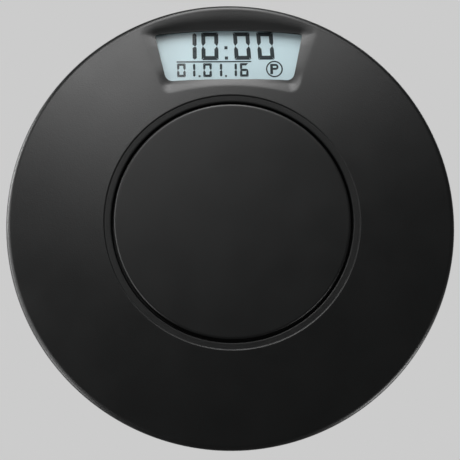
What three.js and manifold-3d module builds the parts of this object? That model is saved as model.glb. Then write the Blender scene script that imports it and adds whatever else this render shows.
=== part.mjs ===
// Round electronic parking disc that twists onto a mount plate stuck to a windscreen.
// A domed front cover with a drafted display recess and a bayonet well, a rear cover with
// a coin cell bay, a circuit board between them, and a twist-out cover over the cell.
// Millimetres. +X is right and +Z up as seen from the front, which looks along -Y.
// The origin is the centre of the mount plate's windscreen face, and the depth runs along +Y.

import * as THREE from "three";
import { mergeVertices } from "three/addons/utils/BufferGeometryUtils.js";
import Module from "manifold-3d";

const wasm = await Module();
wasm.setup();

// Fits shared by all pieces
const seatGap = 0.05; // between pieces that rest on each other
const runGap = 0.2; // between pieces that slide or turn on each other
const overrun = 0.5; // how far a cutting or joining body passes the face that it crosses
const overrunShare = 0.3; // the same, as a share of the recess wall's slope

// Disc outline and moulded walls
const discRadius = 50;
const domeRadius = 280; // crown of the front face
const frontEdgeRadius = 1.2;
const rearEdgeRadius = 2.5;
const coverWall = 1.8; // front face and skirt
const rearWall = 1.6; // rear face
const rearSideWall = 1.8;
const innerChamfer = 0.6; // inside the corner of each cover
const partingGap = 0.1;
const tongueWall = 1.4; // rear cover's locating tongue inside the front cover's skirt
const tongueLength = 1.4;
const tongueNotchGap = 0.4; // round the display holder
const tongueRoot = 1.5; // how far the tongue reaches back along the rear cover's side

// Mount plate, with hooks that pass behind the tabs in the front cover's well
const plateRadius = 26;
const plateThickness = 1.8;
const plateProud = 1.2; // windscreen face in front of the well lip
const plateChamfer = 0.4;
const plateRibInset = 1;
const plateRibWidth = 1;
const plateRibHeight = 1.2;
const hookWall = 1.4;
const hookTip = 0.9; // thickness of the inward lip on each hook
const hookDegrees = 30;

// Well and bayonet boss in the front cover
const wellGap = 0.5; // round the plate, down to the well floor
const wellFlare = 1.7; // width of the sloping ledge inside the lip
const ledgeDrop = 0.55; // how far that ledge goes down before the well's upright wall
const wellWall = 1.4;
const lipRounding = 0.8;
const bossRadius = 18;
const tabReach = 2.6;
const tabThickness = 1.1;
const tabDegrees = 40;
const stopDegrees = 3.5;
const stopGapDegrees = 1.5;
const twistDegrees = 45; // from locked to released
const bayonetCount = 3;
const firstTabDegrees = 90;

// Display recess: the window's outline at the bottom, the mouth's outline on the dome
const windowSink = 0.88; // from the mouth's top edge back to the top of the walls' foot
const footLean = 0.17; // how far the foot comes forward for each mm that it goes down
const windowRimInset = 6; // from the disc's edge in to the window's top
const windowTopRadius = 139;
const windowBottomRadius = 400;
const windowHalfWidth = 15.65; // at half its height
const windowSideSlopeShare = 0.23; // how fast the sides spread with height
const windowTopCorner = 0.8;
const windowBottomCorner = 1.7;
const mouthRimLand = 2; // from the mouth's top edge out to the disc's edge
const mouthLipLand = 2.2; // from the well lip up to the mouth's bottom edge
const mouthBottomRadius = 57;
const mouthHalfWidth = 18.63; // at half its height
const bottomWallRun = 1.65; // from the mouth's bottom edge up to the window's
const mouthSideSlopeShare = 0.36;
const mouthTopCorner = 1.2;
const mouthBottomCorner = 2.2;
const recessWall = 1.3; // material behind the recess walls
const openingLip = 0.3; // from the top of the foot back to the lens pocket
const lipThickness = 0.2; // straight edge of the opening
const lipFlare = 0.6; // how far the opening spreads behind that edge

// Window lens and display
const lensThickness = 0.6;
const lensLap = 0.8; // how far the lens reaches under the opening's edge
const lensGap = 0.15;
const pocketWall = 1;
const gasketThickness = 0.2;
const gasketReveal = 0.3; // gasket's opening outside the window's edge
const gasketTopLap = 0.5;
const polariserThickness = 0.15;
const glassThickness = 0.4;
const displaySideLap = 0.9; // glass past the window's widest point
const displayTopLap = 0.6; // glass above the window's top
const displayBottomLap = 2.1; // glass below the window's bottom
const displayLedge = 1.8; // strip of the front glass that carries the contacts
const filmInset = 0.15; // polariser and reflector inside the glass edge
const stripWidth = 1.3;
const stripInset = 1.5; // contact strip's ends inside the glass
const holderWall = 0.8;
const holderGap = 0.15;

// Circuit board and what stands on it
const boardGap = 0.95; // from the display's reflector back to the board
const boardThickness = 0.8;
const boardEdgeGap = 0.6; // inside the rear cover's tongue
const chipSize = 7;
const chipHeight = 1;
const sensorSize = 3;
const sensorHeight = 0.9;
const crystalRadius = 1;
const crystalLength = 6;
const capacitorLength = 7.3;
const capacitorWidth = 4.3;
const capacitorHeight = 2.8;
const chipDegrees = 247.5;
const sensorDegrees = 292.5;
const crystalDegrees = 202.5;
const capacitorDegrees = 337.5;

// Coin cell and its contacts
const cellRadius = 12.25;
const cellHeight = 5;
const cellCapRadius = 10.7; // negative cap
const cellCapStep = 0.3;
const cellChamfer = 0.4;
const cellSideGap = 0.5; // round the cell in its bay
const cellEndGap = 0.2; // between the cell and the battery cover
const leafHeight = 0.4; // room for the negative contact under the cell
const contactSheet = 0.25;
const leafLength = 14;
const leafWidth = 3;
const clipWidth = 5;
const clipFoot = 2.5;
const clipHeight = 2.4;

// Battery cover with bayonet lugs, its seal and its coin slot
const coverRadius = 16.8;
const coverFlange = 1.2;
const coverSideGap = 0.3;
const coverChamfer = 0.3;
const neckInnerRadius = 13;
const neckWall = 1.2;
const neckLength = 2.1;
const lugReach = 1.5;
const lugThickness = 0.9;
const lugDegrees = 26;
const coverTwistDegrees = 40;
const sealWidth = 0.7;
const sealHeight = 0.7;
const sealGrooveWidth = 0.9;
const sealGrooveDepth = 0.6;
const bayWall = 1.7;
const coinSlotLength = 20;
const coinSlotWidth = 2;
const coinSlotDepth = 0.7;

// Set buttons over two switches
const buttonX = 11;
const buttonBayLand = 2.2; // from the bay's ring to the finger dishes
const buttonRadius = 3.95;
const buttonGap = 0.25;
const buttonInset = 0.1; // cap's face below the rear face
const buttonTravel = 0.5;
const buttonFlangeReach = 1.05;
const buttonFlange = 1;
const buttonStemRadius = 1.5;
const dishRadius = 7; // finger dish round each button
const dishDepth = 0.5;
const switchSize = 6;
const switchHeight = 3;
const plungerRadius = 1.7;
const plungerHeight = 0.7;
const plungerSeat = 0.8; // depth of the switch body's bore

// Screws: the case screws clamp both covers, the board screws hold the board to the front
const caseScrewRimInset = 10; // from the disc's edge
const caseScrewCount = 4;
const caseScrewFirstDegrees = 45;
const caseScrewHeadRadius = 2.3;
const caseScrewHead = 1.6;
const caseScrewShank = 0.9;
const caseScrewInset = 0.5; // head below the rear face
const caseScrewHeadGap = 0.3;
const casePostRadius = 3.6;
const caseBossRadius = 3;
const boardScrewRimInset = 14;
const boardScrewCount = 3;
const boardScrewFirstDegrees = 180;
const boardScrewSpreadDegrees = 270;
const boardScrewHeadRadius = 1.9;
const boardScrewHead = 1.2;
const boardScrewShank = 0.8;
const boardBossRadius = 2.4;
const pilotGap = 0.05; // round a screw in its boss
const screwHoleGap = 0.4; // round a screw in the board and in a post
const screwBite = 0.4; // from a screw's tip to the floor of its boss
const screwCrownShare = 0.6; // flat top of a screw head

// Facets
const discSegments = 48;
const ringSegments = 24;
const smallSegments = 12;
const edgeSteps = 4;
const arcSteps = 5;
const cornerSteps = 3;

// Depths worked out from the front backwards
const bossFaceY = plateThickness + runGap;
const tabRearY = bossFaceY + tabThickness;
const tipFrontY = tabRearY + runGap;
const tipRearY = tipFrontY + hookTip;
const wellFloorY = tipRearY + runGap;
const lipY = plateProud;
const ledgeY = lipY + ledgeDrop;

// Radii worked out from the pieces that seat in them
const wellRadius = plateRadius + wellGap;
const lipRadius = wellRadius + wellFlare;
const hookInnerRadius = bossRadius + tabReach + runGap;
const bayRadius = cellRadius + cellSideGap;
const neckOuterRadius = neckInnerRadius + neckWall;
const neckBoreRadius = neckOuterRadius + runGap;
const lugGrooveRadius = neckOuterRadius + lugReach + runGap;
const coverRecessRadius = coverRadius + coverSideGap;
const bayRingRadius = coverRecessRadius + bayWall;
const sealGrooveRadius = coverRecessRadius - sealGrooveWidth;
const skirtInnerRadius = discRadius - coverWall;
const tongueOuterRadius = skirtInnerRadius - runGap;
const tongueInnerRadius = tongueOuterRadius - tongueWall;
const boardRadius = tongueInnerRadius - boardEdgeGap;
const caseScrewCircle = discRadius - caseScrewRimInset;
const boardScrewCircle = discRadius - boardScrewRimInset;

// Outer face of the front cover's dome at a radius
function domeY(radius) {
  const sag = (r) => domeRadius - Math.sqrt(domeRadius * domeRadius - r * r);
  return lipY + sag(radius) - sag(lipRadius);
}

// Depths worked out from the foot of the recess backwards
const windowY = domeY(discRadius - mouthRimLand) + windowSink;
const lensFrontY = windowY + openingLip + seatGap;
const pocketRearY = lensFrontY + lensThickness + lensGap;
const gasketRearY = pocketRearY + gasketThickness;
const polariserFrontY = gasketRearY + seatGap;
const glassFrontY = polariserFrontY + polariserThickness;
const rearGlassY = glassFrontY + glassThickness;
const reflectorFrontY = rearGlassY + glassThickness;
const boardFrontY = reflectorFrontY + polariserThickness + boardGap;
const boardRearY = boardFrontY + boardThickness;
const partingY = boardFrontY + boardThickness / 2; // the covers meet level with the board
const cellFrontY = boardRearY + leafHeight;
const cellRearY = cellFrontY + cellHeight;
const flangeFrontY = cellRearY + cellEndGap;
const rearY = flangeFrontY + coverFlange;
const rearInnerY = rearY - rearWall;
const recessFloorY = flangeFrontY - runGap;
const neckFrontY = flangeFrontY - neckLength;
const neckFloorY = neckFrontY - runGap;
const lugGrooveRearY = neckFrontY + lugThickness + runGap;

// Heights and places tied to the disc's edge, the well lip and the bay
const windowTopZ = discRadius - windowRimInset;
const mouthTopZ = discRadius - mouthRimLand;
const mouthBottomZ = lipRadius + mouthLipLand;
const windowBottomZ = mouthBottomZ + bottomWallRun;
const displayTopZ = windowTopZ + displayTopLap;
const displayBottomZ = windowBottomZ - displayBottomLap;
const buttonZ = bayRingRadius + buttonBayLand + dishRadius;
const partsCircle = (bayRingRadius + boardRadius) / 2; // midway between the bay and the edge

const windowFan = {
  topRadius: windowTopRadius,
  topCentreZ: windowTopZ - windowTopRadius,
  bottomRadius: windowBottomRadius,
  bottomCentreZ: windowBottomZ - windowBottomRadius,
  sideZ: (windowTopZ + windowBottomZ) / 2,
  halfWidth: windowHalfWidth,
  slope: windowSideSlopeShare,
  topCorner: windowTopCorner,
  bottomCorner: windowBottomCorner,
};
const mouthFan = {
  topRadius: mouthTopZ,
  topCentreZ: 0,
  bottomRadius: mouthBottomRadius,
  bottomCentreZ: mouthBottomZ - mouthBottomRadius,
  sideZ: (mouthTopZ + mouthBottomZ) / 2,
  halfWidth: mouthHalfWidth,
  slope: mouthSideSlopeShare,
  topCorner: mouthTopCorner,
  bottomCorner: mouthBottomCorner,
};

// Solids: a closed geometry becomes a manifold solid, which can be joined and cut
function solid(geometry) {
  const bare = geometry.index ? geometry.toNonIndexed() : geometry.clone();
  bare.deleteAttribute("normal");
  bare.deleteAttribute("uv");
  const merged = mergeVertices(bare);
  const corners = merged.index.array;
  const triVerts = [];
  for (let i = 0; i < corners.length; i += 3) {
    const [a, b, c] = [corners[i], corners[i + 1], corners[i + 2]];
    if (a !== b && b !== c && c !== a) {
      triVerts.push(a, b, c);
    }
  }
  const mesh = new wasm.Mesh({
    numProp: 3,
    vertProperties: new Float32Array(merged.attributes.position.array),
    triVerts: new Uint32Array(triVerts),
  });
  return new wasm.Manifold(mesh);
}

function geometryOf(body) {
  const mesh = body.getMesh();
  const geometry = new THREE.BufferGeometry();
  geometry.setAttribute("position", new THREE.BufferAttribute(mesh.vertProperties, 3));
  geometry.setIndex(new THREE.BufferAttribute(mesh.triVerts, 1));
  const flat = geometry.toNonIndexed();
  flat.computeVertexNormals();
  return flat;
}

// Joins a list of solids into the first one
function join(first, others) {
  return others.reduce((whole, piece) => whole.add(piece), first);
}

// Cuts a list of solids out of the first one
function cut(first, others) {
  return others.reduce((whole, piece) => whole.subtract(piece), first);
}

// Revolves an outline of [radius, y] pairs about the Y axis
function revolve(outline, segments) {
  const points = outline.map(([radius, y]) => new THREE.Vector2(radius, y));
  if (THREE.ShapeUtils.area(points) < 0) {
    points.reverse();
  }
  if (points[0].x > 0) {
    points.push(points[0].clone());
  }
  return solid(new THREE.LatheGeometry(points, segments));
}

// Round bar along Y
function bar(radius, frontY, rearY, segments) {
  return solid(
    new THREE.CylinderGeometry(radius, radius, rearY - frontY, segments).translate(
      0,
      (frontY + rearY) / 2,
      0,
    ),
  );
}

// Extrudes a shape drawn in X and Z from frontY to rearY
function prism(shape, frontY, rearY) {
  const options = { depth: rearY - frontY, bevelEnabled: false, curveSegments: cornerSteps * 2 };
  return solid(
    new THREE.ExtrudeGeometry(shape, options).rotateX(Math.PI / 2).translate(0, rearY, 0),
  );
}

function block(leftX, rightX, frontY, rearY, lowZ, highZ) {
  return solid(
    new THREE.BoxGeometry(rightX - leftX, rearY - frontY, highZ - lowZ).translate(
      (leftX + rightX) / 2,
      (frontY + rearY) / 2,
      (lowZ + highZ) / 2,
    ),
  );
}

// Ring sector, with its angles in degrees from +X towards +Z
function sector(innerRadius, outerRadius, fromDegrees, toDegrees, frontY, rearY) {
  const from = THREE.MathUtils.degToRad(fromDegrees);
  const to = THREE.MathUtils.degToRad(toDegrees);
  const shape = new THREE.Shape();
  shape.absarc(0, 0, outerRadius, from, to, false);
  shape.absarc(0, 0, innerRadius, to, from, true);
  return prism(shape, frontY, rearY);
}

function polar(radius, degrees) {
  const angle = THREE.MathUtils.degToRad(degrees);
  return new THREE.Vector3(radius * Math.cos(angle), 0, radius * Math.sin(angle));
}

// The places of count copies on a circle, spread evenly over an angle
function onCircle(radius, count, firstDegrees, spreadDegrees) {
  return Array.from({ length: count }, (_, i) =>
    polar(radius, firstDegrees + (i * spreadDegrees) / count),
  );
}

function moved(body, place) {
  return body.translate([place.x, place.y, place.z]);
}

// Fan outlines: an arc on top, an arc below and two spreading sides, with rounded corners
function grow(fan, margin) {
  return {
    ...fan,
    topRadius: fan.topRadius + margin,
    bottomRadius: fan.bottomRadius - margin,
    halfWidth: fan.halfWidth + margin * Math.hypot(1, fan.slope),
  };
}

// Where the right side of a fan meets one of its arcs
function fanCorner(fan, radius, centreZ) {
  const offset = fan.halfWidth + fan.slope * (centreZ - fan.sideZ);
  const a = 1 + fan.slope * fan.slope;
  const b = fan.slope * offset;
  const rise = (-b + Math.sqrt(b * b - a * (offset * offset - radius * radius))) / a;
  return new THREE.Vector2(offset + fan.slope * rise, centreZ + rise);
}

function onArc(radius, centreZ, x) {
  return new THREE.Vector2(x, centreZ + Math.sqrt(radius * radius - x * x));
}

function fanOutline(fan) {
  const top = fanCorner(fan, fan.topRadius, fan.topCentreZ);
  const bottom = fanCorner(fan, fan.bottomRadius, fan.bottomCentreZ);
  const side = top.clone().sub(bottom).normalize();
  const half = [];
  for (let i = 0; i < arcSteps; i++) {
    const x = ((bottom.x - fan.bottomCorner) * i) / arcSteps;
    half.push(onArc(fan.bottomRadius, fan.bottomCentreZ, x));
  }
  half.push(
    ...new THREE.QuadraticBezierCurve(
      onArc(fan.bottomRadius, fan.bottomCentreZ, bottom.x - fan.bottomCorner),
      bottom,
      bottom.clone().addScaledVector(side, fan.bottomCorner),
    ).getPoints(cornerSteps),
    ...new THREE.QuadraticBezierCurve(
      top.clone().addScaledVector(side, -fan.topCorner),
      top,
      onArc(fan.topRadius, fan.topCentreZ, top.x - fan.topCorner),
    ).getPoints(cornerSteps),
  );
  for (let i = arcSteps - 1; i >= 0; i--) {
    const x = ((top.x - fan.topCorner) * i) / arcSteps;
    half.push(onArc(fan.topRadius, fan.topCentreZ, x));
  }
  const inner = half.slice(1, -1);
  const mirrored = inner.reverse().map((p) => new THREE.Vector2(-p.x, p.y));
  return [...half, ...mirrored];
}

// Skins a stack of rings, given from the rear to the front, each anticlockwise in X and Z
function loft(rings) {
  const count = rings[0].length;
  const positions = rings.flat().flatMap((p) => [p.x, p.y, p.z]);
  const index = [];
  for (let k = 0; k + 1 < rings.length; k++) {
    for (let i = 0; i < count; i++) {
      const next = (i + 1) % count;
      const here = k * count;
      const ahead = here + count;
      index.push(here + i, here + next, ahead + next);
      index.push(here + i, ahead + next, ahead + i);
    }
  }
  const flat = rings[0].map((p) => new THREE.Vector2(p.x, p.z));
  const last = (rings.length - 1) * count;
  for (const [a, b, c] of THREE.ShapeUtils.triangulateShape(flat, [])) {
    index.push(a, c, b);
    index.push(last + a, last + b, last + c);
  }
  const geometry = new THREE.BufferGeometry();
  geometry.setAttribute("position", new THREE.Float32BufferAttribute(positions, 3));
  geometry.setIndex(index);
  return solid(geometry);
}

function flatRing(fan, y) {
  return fanOutline(fan).map((p) => new THREE.Vector3(p.x, y, p.y));
}

function domeRing(fan) {
  return fanOutline(fan).map((p) => new THREE.Vector3(p.x, domeY(p.length()), p.y));
}

function fanShape(fan) {
  return new THREE.Shape(fanOutline(fan));
}

function boxShape(halfWidth, lowZ, highZ) {
  return new THREE.Shape([
    new THREE.Vector2(-halfWidth, lowZ),
    new THREE.Vector2(halfWidth, lowZ),
    new THREE.Vector2(halfWidth, highZ),
    new THREE.Vector2(-halfWidth, highZ),
  ]);
}

// Where the bayonet copies sit
const bayonetDegrees = Array.from(
  { length: bayonetCount },
  (_, i) => firstTabDegrees + (i * 360) / bayonetCount,
);
const caseScrewPlaces = onCircle(caseScrewCircle, caseScrewCount, caseScrewFirstDegrees, 360);
const boardScrewPlaces = onCircle(
  boardScrewCircle,
  boardScrewCount,
  boardScrewFirstDegrees,
  boardScrewSpreadDegrees,
);
const caseScrewHeadRearY = rearY - caseScrewInset;
const caseScrewHeadFrontY = caseScrewHeadRearY - caseScrewHead;
const caseScrewTipY = domeY(caseScrewCircle) + coverWall + screwBite;
const boardScrewTipY = domeY(boardScrewCircle) + coverWall + screwBite;

// Mount plate: a bare disc whose hooks reach in behind the tabs of the front cover
function mountPlate() {
  const plate = revolve(
    [
      [0, 0],
      [plateRadius - plateChamfer, 0],
      [plateRadius, plateChamfer],
      [plateRadius, plateThickness],
      [plateRadius - plateRibInset, plateThickness],
      [plateRadius - plateRibInset, plateThickness + plateRibHeight],
      [plateRadius - plateRibInset - plateRibWidth, plateThickness + plateRibHeight],
      [plateRadius - plateRibInset - plateRibWidth, plateThickness],
      [0, plateThickness],
    ],
    discSegments,
  );
  const halfHook = hookDegrees / 2;
  const hookOuterRadius = hookInnerRadius + hookWall;
  const hooks = bayonetDegrees.map((middle) =>
    sector(
      hookInnerRadius,
      hookOuterRadius,
      middle - halfHook,
      middle + halfHook,
      plateThickness - overrun,
      tipRearY,
    ),
  );
  const tips = bayonetDegrees.map((middle) =>
    sector(
      bossRadius + runGap,
      hookOuterRadius,
      middle - halfHook,
      middle + halfHook,
      tipFrontY,
      tipRearY,
    ),
  );
  return join(plate, [...hooks, ...tips]);
}

// Tabs on the boss, and the ribs that stop the hooks at each end of the twist
function bayonetTabs() {
  const rootRadius = bossRadius - overrun;
  const tabRadius = bossRadius + tabReach;
  const halfTab = tabDegrees / 2;
  const halfHook = hookDegrees / 2;
  return bayonetDegrees.flatMap((middle) => {
    const locked = middle - halfHook - stopGapDegrees;
    const released = middle + halfHook + twistDegrees + stopGapDegrees;
    return [
      sector(rootRadius, tabRadius, middle - halfTab, middle + halfTab, bossFaceY, tabRearY),
      sector(
        rootRadius,
        tabRadius,
        locked - stopDegrees,
        locked,
        bossFaceY,
        wellFloorY + overrun,
      ),
      sector(
        rootRadius,
        tabRadius,
        released,
        released + stopDegrees,
        tabRearY,
        wellFloorY + overrun,
      ),
    ];
  });
}

// Ledge, rounded lip, dome and rounded front edge of the front cover
function frontFace() {
  const corner = new THREE.Vector2(lipRadius, lipY);
  const cone = new THREE.Vector2(wellRadius, ledgeY).sub(corner).normalize();
  const lipEnd = lipRadius + lipRounding;
  const lip = new THREE.QuadraticBezierCurve(
    corner.clone().addScaledVector(cone, lipRounding),
    corner,
    new THREE.Vector2(lipEnd, domeY(lipEnd)),
  ).getPoints(cornerSteps);
  const edgeStart = discRadius - frontEdgeRadius;
  const points = [[wellRadius, ledgeY], ...lip.map((p) => [p.x, p.y])];
  for (let i = 1; i <= edgeSteps; i++) {
    const radius = lipEnd + ((edgeStart - lipEnd) * i) / edgeSteps;
    points.push([radius, domeY(radius)]);
  }
  for (let i = 1; i <= edgeSteps; i++) {
    const turn = (Math.PI / 2) * (i / edgeSteps);
    points.push([
      edgeStart + frontEdgeRadius * Math.sin(turn),
      domeY(edgeStart) + frontEdgeRadius * (1 - Math.cos(turn)),
    ]);
  }
  return points;
}

function frontShell() {
  const innerEdge = skirtInnerRadius - innerChamfer;
  const innerEdgeY = domeY(innerEdge) + coverWall;
  const innerLip = lipRadius + wellWall;
  const middle = (innerLip + innerEdge) / 2;
  return revolve(
    [
      [0, bossFaceY],
      [bossRadius, bossFaceY],
      [bossRadius, wellFloorY],
      [wellRadius, wellFloorY],
      ...frontFace(),
      [discRadius, partingY],
      [skirtInnerRadius, partingY],
      [skirtInnerRadius, innerEdgeY + innerChamfer],
      [innerEdge, innerEdgeY],
      [middle, domeY(middle) + coverWall],
      [innerLip, domeY(innerLip) + coverWall],
      [wellRadius + wellWall, wellFloorY + wellWall],
      [bossRadius - wellWall, wellFloorY + wellWall],
      [bossRadius - wellWall, bossFaceY + wellWall],
      [0, bossFaceY + wellWall],
    ],
    discSegments,
  );
}

// Material behind the display recess, kept inside the cover's own face
function recessBacking() {
  const halfWall = coverWall / 2;
  const edge = discRadius - halfWall;
  const radii = Array.from({ length: edgeSteps + 1 }, (_, i) => (edge * i) / edgeSteps);
  const envelope = revolve(
    [
      ...radii.map((radius) => [radius, domeY(radius) + halfWall]),
      [edge, pocketRearY + overrun],
      [0, pocketRearY + overrun],
    ],
    discSegments,
  );
  const behind = grow(windowFan, lensLap + lensGap + pocketWall);
  const mouth = domeRing(grow(mouthFan, recessWall));
  const clear = mouth.map((p) => new THREE.Vector3(p.x, 0, p.z));
  return envelope.intersect(loft([flatRing(behind, pocketRearY), mouth, clear]));
}

// The recess's foot leans with the dome, so that its walls are about as deep all round
function footRing(behind) {
  return fanOutline(windowFan).map((p) => {
    const rise = footLean * (windowTopZ - p.y);
    return new THREE.Vector3(p.x, windowY - rise + behind, p.y);
  });
}

// Drafted recess from its mouth on the dome down to the window
function recessHollow() {
  const foot = footRing(0);
  const mouth = domeRing(mouthFan);
  const beyond = mouth.map((p, i) => p.clone().lerp(foot[i], -overrunShare));
  const clear = beyond.map((p) => new THREE.Vector3(p.x, 0, p.z));
  return loft([foot, mouth, beyond, clear]);
}

// Bosses that take the screws, each starting inside the cover's wall
function frontBosses() {
  const top = boardFrontY - seatGap;
  const inWall = coverWall / 2;
  const caseStart = domeY(caseScrewCircle) + inWall;
  const boardStart = domeY(boardScrewCircle) + inWall;
  const caseBoss = bar(caseBossRadius, caseStart, top, smallSegments);
  const boardBoss = bar(boardBossRadius, boardStart, top, smallSegments);
  return [
    ...caseScrewPlaces.map((place) => moved(caseBoss, place)),
    ...boardScrewPlaces.map((place) => moved(boardBoss, place)),
  ];
}

function frontPilots() {
  const top = boardFrontY + overrun;
  const casePilot = bar(
    caseScrewShank + pilotGap,
    caseScrewTipY - screwBite,
    top,
    smallSegments,
  );
  const boardPilot = bar(
    boardScrewShank + pilotGap,
    boardScrewTipY - screwBite,
    top,
    smallSegments,
  );
  return [
    ...caseScrewPlaces.map((place) => moved(casePilot, place)),
    ...boardScrewPlaces.map((place) => moved(boardPilot, place)),
  ];
}

// Opening with a thin straight edge at the foot, spreading behind it towards the lens
function windowOpening() {
  const wide = grow(windowFan, lipFlare);
  return loft([
    flatRing(wide, pocketRearY + overrun),
    flatRing(wide, windowY + openingLip),
    footRing(lipThickness),
    footRing(-overrun),
  ]);
}

function frontCover() {
  const body = join(frontShell(), [recessBacking(), ...bayonetTabs(), ...frontBosses()]);
  const pocket = prism(
    fanShape(grow(windowFan, lensLap + lensGap)),
    windowY + openingLip,
    pocketRearY + overrun,
  );
  return cut(body, [recessHollow(), windowOpening(), pocket, ...frontPilots()]);
}

function rearShell() {
  const outer = [];
  for (let i = 0; i <= edgeSteps; i++) {
    const turn = (Math.PI / 2) * (i / edgeSteps);
    outer.push([
      discRadius - rearEdgeRadius * (1 - Math.cos(turn)),
      rearY - rearEdgeRadius * (1 - Math.sin(turn)),
    ]);
  }
  const sideInnerRadius = discRadius - rearSideWall;
  const partingRearY = partingY + partingGap;
  const tongueRearY = partingRearY + tongueRoot;
  return revolve(
    [
      [tongueOuterRadius, partingRearY],
      [discRadius, partingRearY],
      ...outer,
      [coverRecessRadius, rearY],
      [coverRecessRadius, recessFloorY - sealGrooveDepth],
      [sealGrooveRadius, recessFloorY - sealGrooveDepth],
      [sealGrooveRadius, recessFloorY],
      [neckBoreRadius, recessFloorY],
      [neckBoreRadius, neckFloorY],
      [bayRadius, neckFloorY],
      [bayRadius, boardRearY + seatGap],
      [bayRingRadius, boardRearY + seatGap],
      [bayRingRadius, rearInnerY],
      [sideInnerRadius - innerChamfer, rearInnerY],
      [sideInnerRadius, rearInnerY - innerChamfer],
      [sideInnerRadius, tongueRearY],
      [tongueInnerRadius, tongueRearY],
      [tongueInnerRadius, partingY - tongueLength],
      [tongueOuterRadius, partingY - tongueLength],
    ],
    discSegments,
  );
}

// Grooves that take the battery cover's lugs: an entry slot, then the locked stretch
function lugGrooves() {
  const halfLug = lugDegrees / 2 + stopGapDegrees;
  return bayonetDegrees.flatMap((middle) => [
    sector(
      neckBoreRadius - overrun,
      lugGrooveRadius,
      middle - coverTwistDegrees - halfLug,
      middle + halfLug,
      neckFloorY,
      lugGrooveRearY,
    ),
    sector(
      neckBoreRadius - overrun,
      lugGrooveRadius,
      middle - coverTwistDegrees - halfLug,
      middle - coverTwistDegrees + halfLug,
      neckFloorY,
      recessFloorY + overrun,
    ),
  ]);
}

function rearCover() {
  const post = bar(
    casePostRadius,
    boardRearY + seatGap,
    rearInnerY + overrun,
    smallSegments,
  );
  const posts = caseScrewPlaces.map((place) => moved(post, place));
  const body = join(rearShell(), posts);
  const hole = bar(
    caseScrewShank + screwHoleGap,
    boardRearY - overrun,
    rearY,
    smallSegments,
  );
  const counterbore = bar(
    caseScrewHeadRadius + caseScrewHeadGap,
    caseScrewHeadFrontY - seatGap,
    rearY + overrun,
    smallSegments,
  );
  const buttonHole = bar(
    buttonRadius + buttonGap,
    rearInnerY - overrun,
    rearY + overrun,
    smallSegments,
  );
  const dishSphere = (dishRadius * dishRadius + dishDepth * dishDepth) / (2 * dishDepth);
  const dishAngle = Math.asin(dishRadius / dishSphere);
  const dish = revolve(
    [
      ...Array.from({ length: edgeSteps + 1 }, (_, i) => {
        const angle = (dishAngle * i) / edgeSteps;
        return [
          dishSphere * Math.sin(angle),
          rearY - dishDepth + dishSphere * (1 - Math.cos(angle)),
        ];
      }),
      [dishRadius, rearY + overrun],
      [0, rearY + overrun],
    ],
    ringSegments,
  );
  const buttonCuts = [-buttonX, buttonX].flatMap((x) => {
    const place = new THREE.Vector3(x, 0, buttonZ);
    return [moved(buttonHole, place), moved(dish, place)];
  });
  const clipNotch = block(
    -clipWidth / 2 - runGap,
    clipWidth / 2 + runGap,
    boardRearY - overrun,
    cellFrontY + clipHeight,
    -bayRadius - clipFoot - runGap,
    -bayRadius + overrun,
  );
  const displayNotch = block(
    -displayHalfWidth - holderWall - holderGap - tongueNotchGap,
    displayHalfWidth + holderWall + holderGap + tongueNotchGap,
    partingY - tongueLength - overrun,
    partingY + partingGap,
    displayBottomZ,
    discRadius,
  );
  return cut(body, [
    ...caseScrewPlaces.flatMap((place) => [moved(hole, place), moved(counterbore, place)]),
    ...buttonCuts,
    ...lugGrooves(),
    clipNotch,
    displayNotch,
  ]);
}

function batteryCover() {
  const body = revolve(
    [
      [0, flangeFrontY],
      [neckInnerRadius, flangeFrontY],
      [neckInnerRadius, neckFrontY],
      [neckOuterRadius, neckFrontY],
      [neckOuterRadius, flangeFrontY],
      [coverRadius, flangeFrontY],
      [coverRadius, rearY - coverChamfer],
      [coverRadius - coverChamfer, rearY],
      [0, rearY],
    ],
    discSegments,
  );
  const halfLug = lugDegrees / 2;
  const lugs = bayonetDegrees.map((middle) =>
    sector(
      neckOuterRadius - neckWall / 2,
      neckOuterRadius + lugReach,
      middle - halfLug,
      middle + halfLug,
      neckFrontY,
      neckFrontY + lugThickness,
    ),
  );
  const halfSlot = coinSlotWidth / 2;
  const reach = coinSlotLength / 2 - halfSlot;
  const slot = new THREE.Shape();
  slot.absarc(reach, 0, halfSlot, -Math.PI / 2, Math.PI / 2, false);
  slot.absarc(-reach, 0, halfSlot, Math.PI / 2, (3 * Math.PI) / 2, false);
  return cut(join(body, lugs), [prism(slot, rearY - coinSlotDepth, rearY + overrun)]);
}

function coverSeal() {
  const middle = (sealGrooveRadius + coverRecessRadius) / 2;
  const frontY = recessFloorY - sealGrooveDepth + seatGap;
  return revolve(
    [
      [middle - sealWidth / 2, frontY],
      [middle + sealWidth / 2, frontY],
      [middle + sealWidth / 2, frontY + sealHeight],
      [middle - sealWidth / 2, frontY + sealHeight],
    ],
    discSegments,
  );
}

function coinCell() {
  return revolve(
    [
      [0, cellFrontY],
      [cellCapRadius, cellFrontY],
      [cellCapRadius, cellFrontY + cellCapStep],
      [cellRadius - cellChamfer, cellFrontY + cellCapStep],
      [cellRadius, cellFrontY + cellCapStep + cellChamfer],
      [cellRadius, cellRearY - cellChamfer],
      [cellRadius - cellChamfer, cellRearY],
      [0, cellRearY],
    ],
    ringSegments,
  );
}

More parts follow.
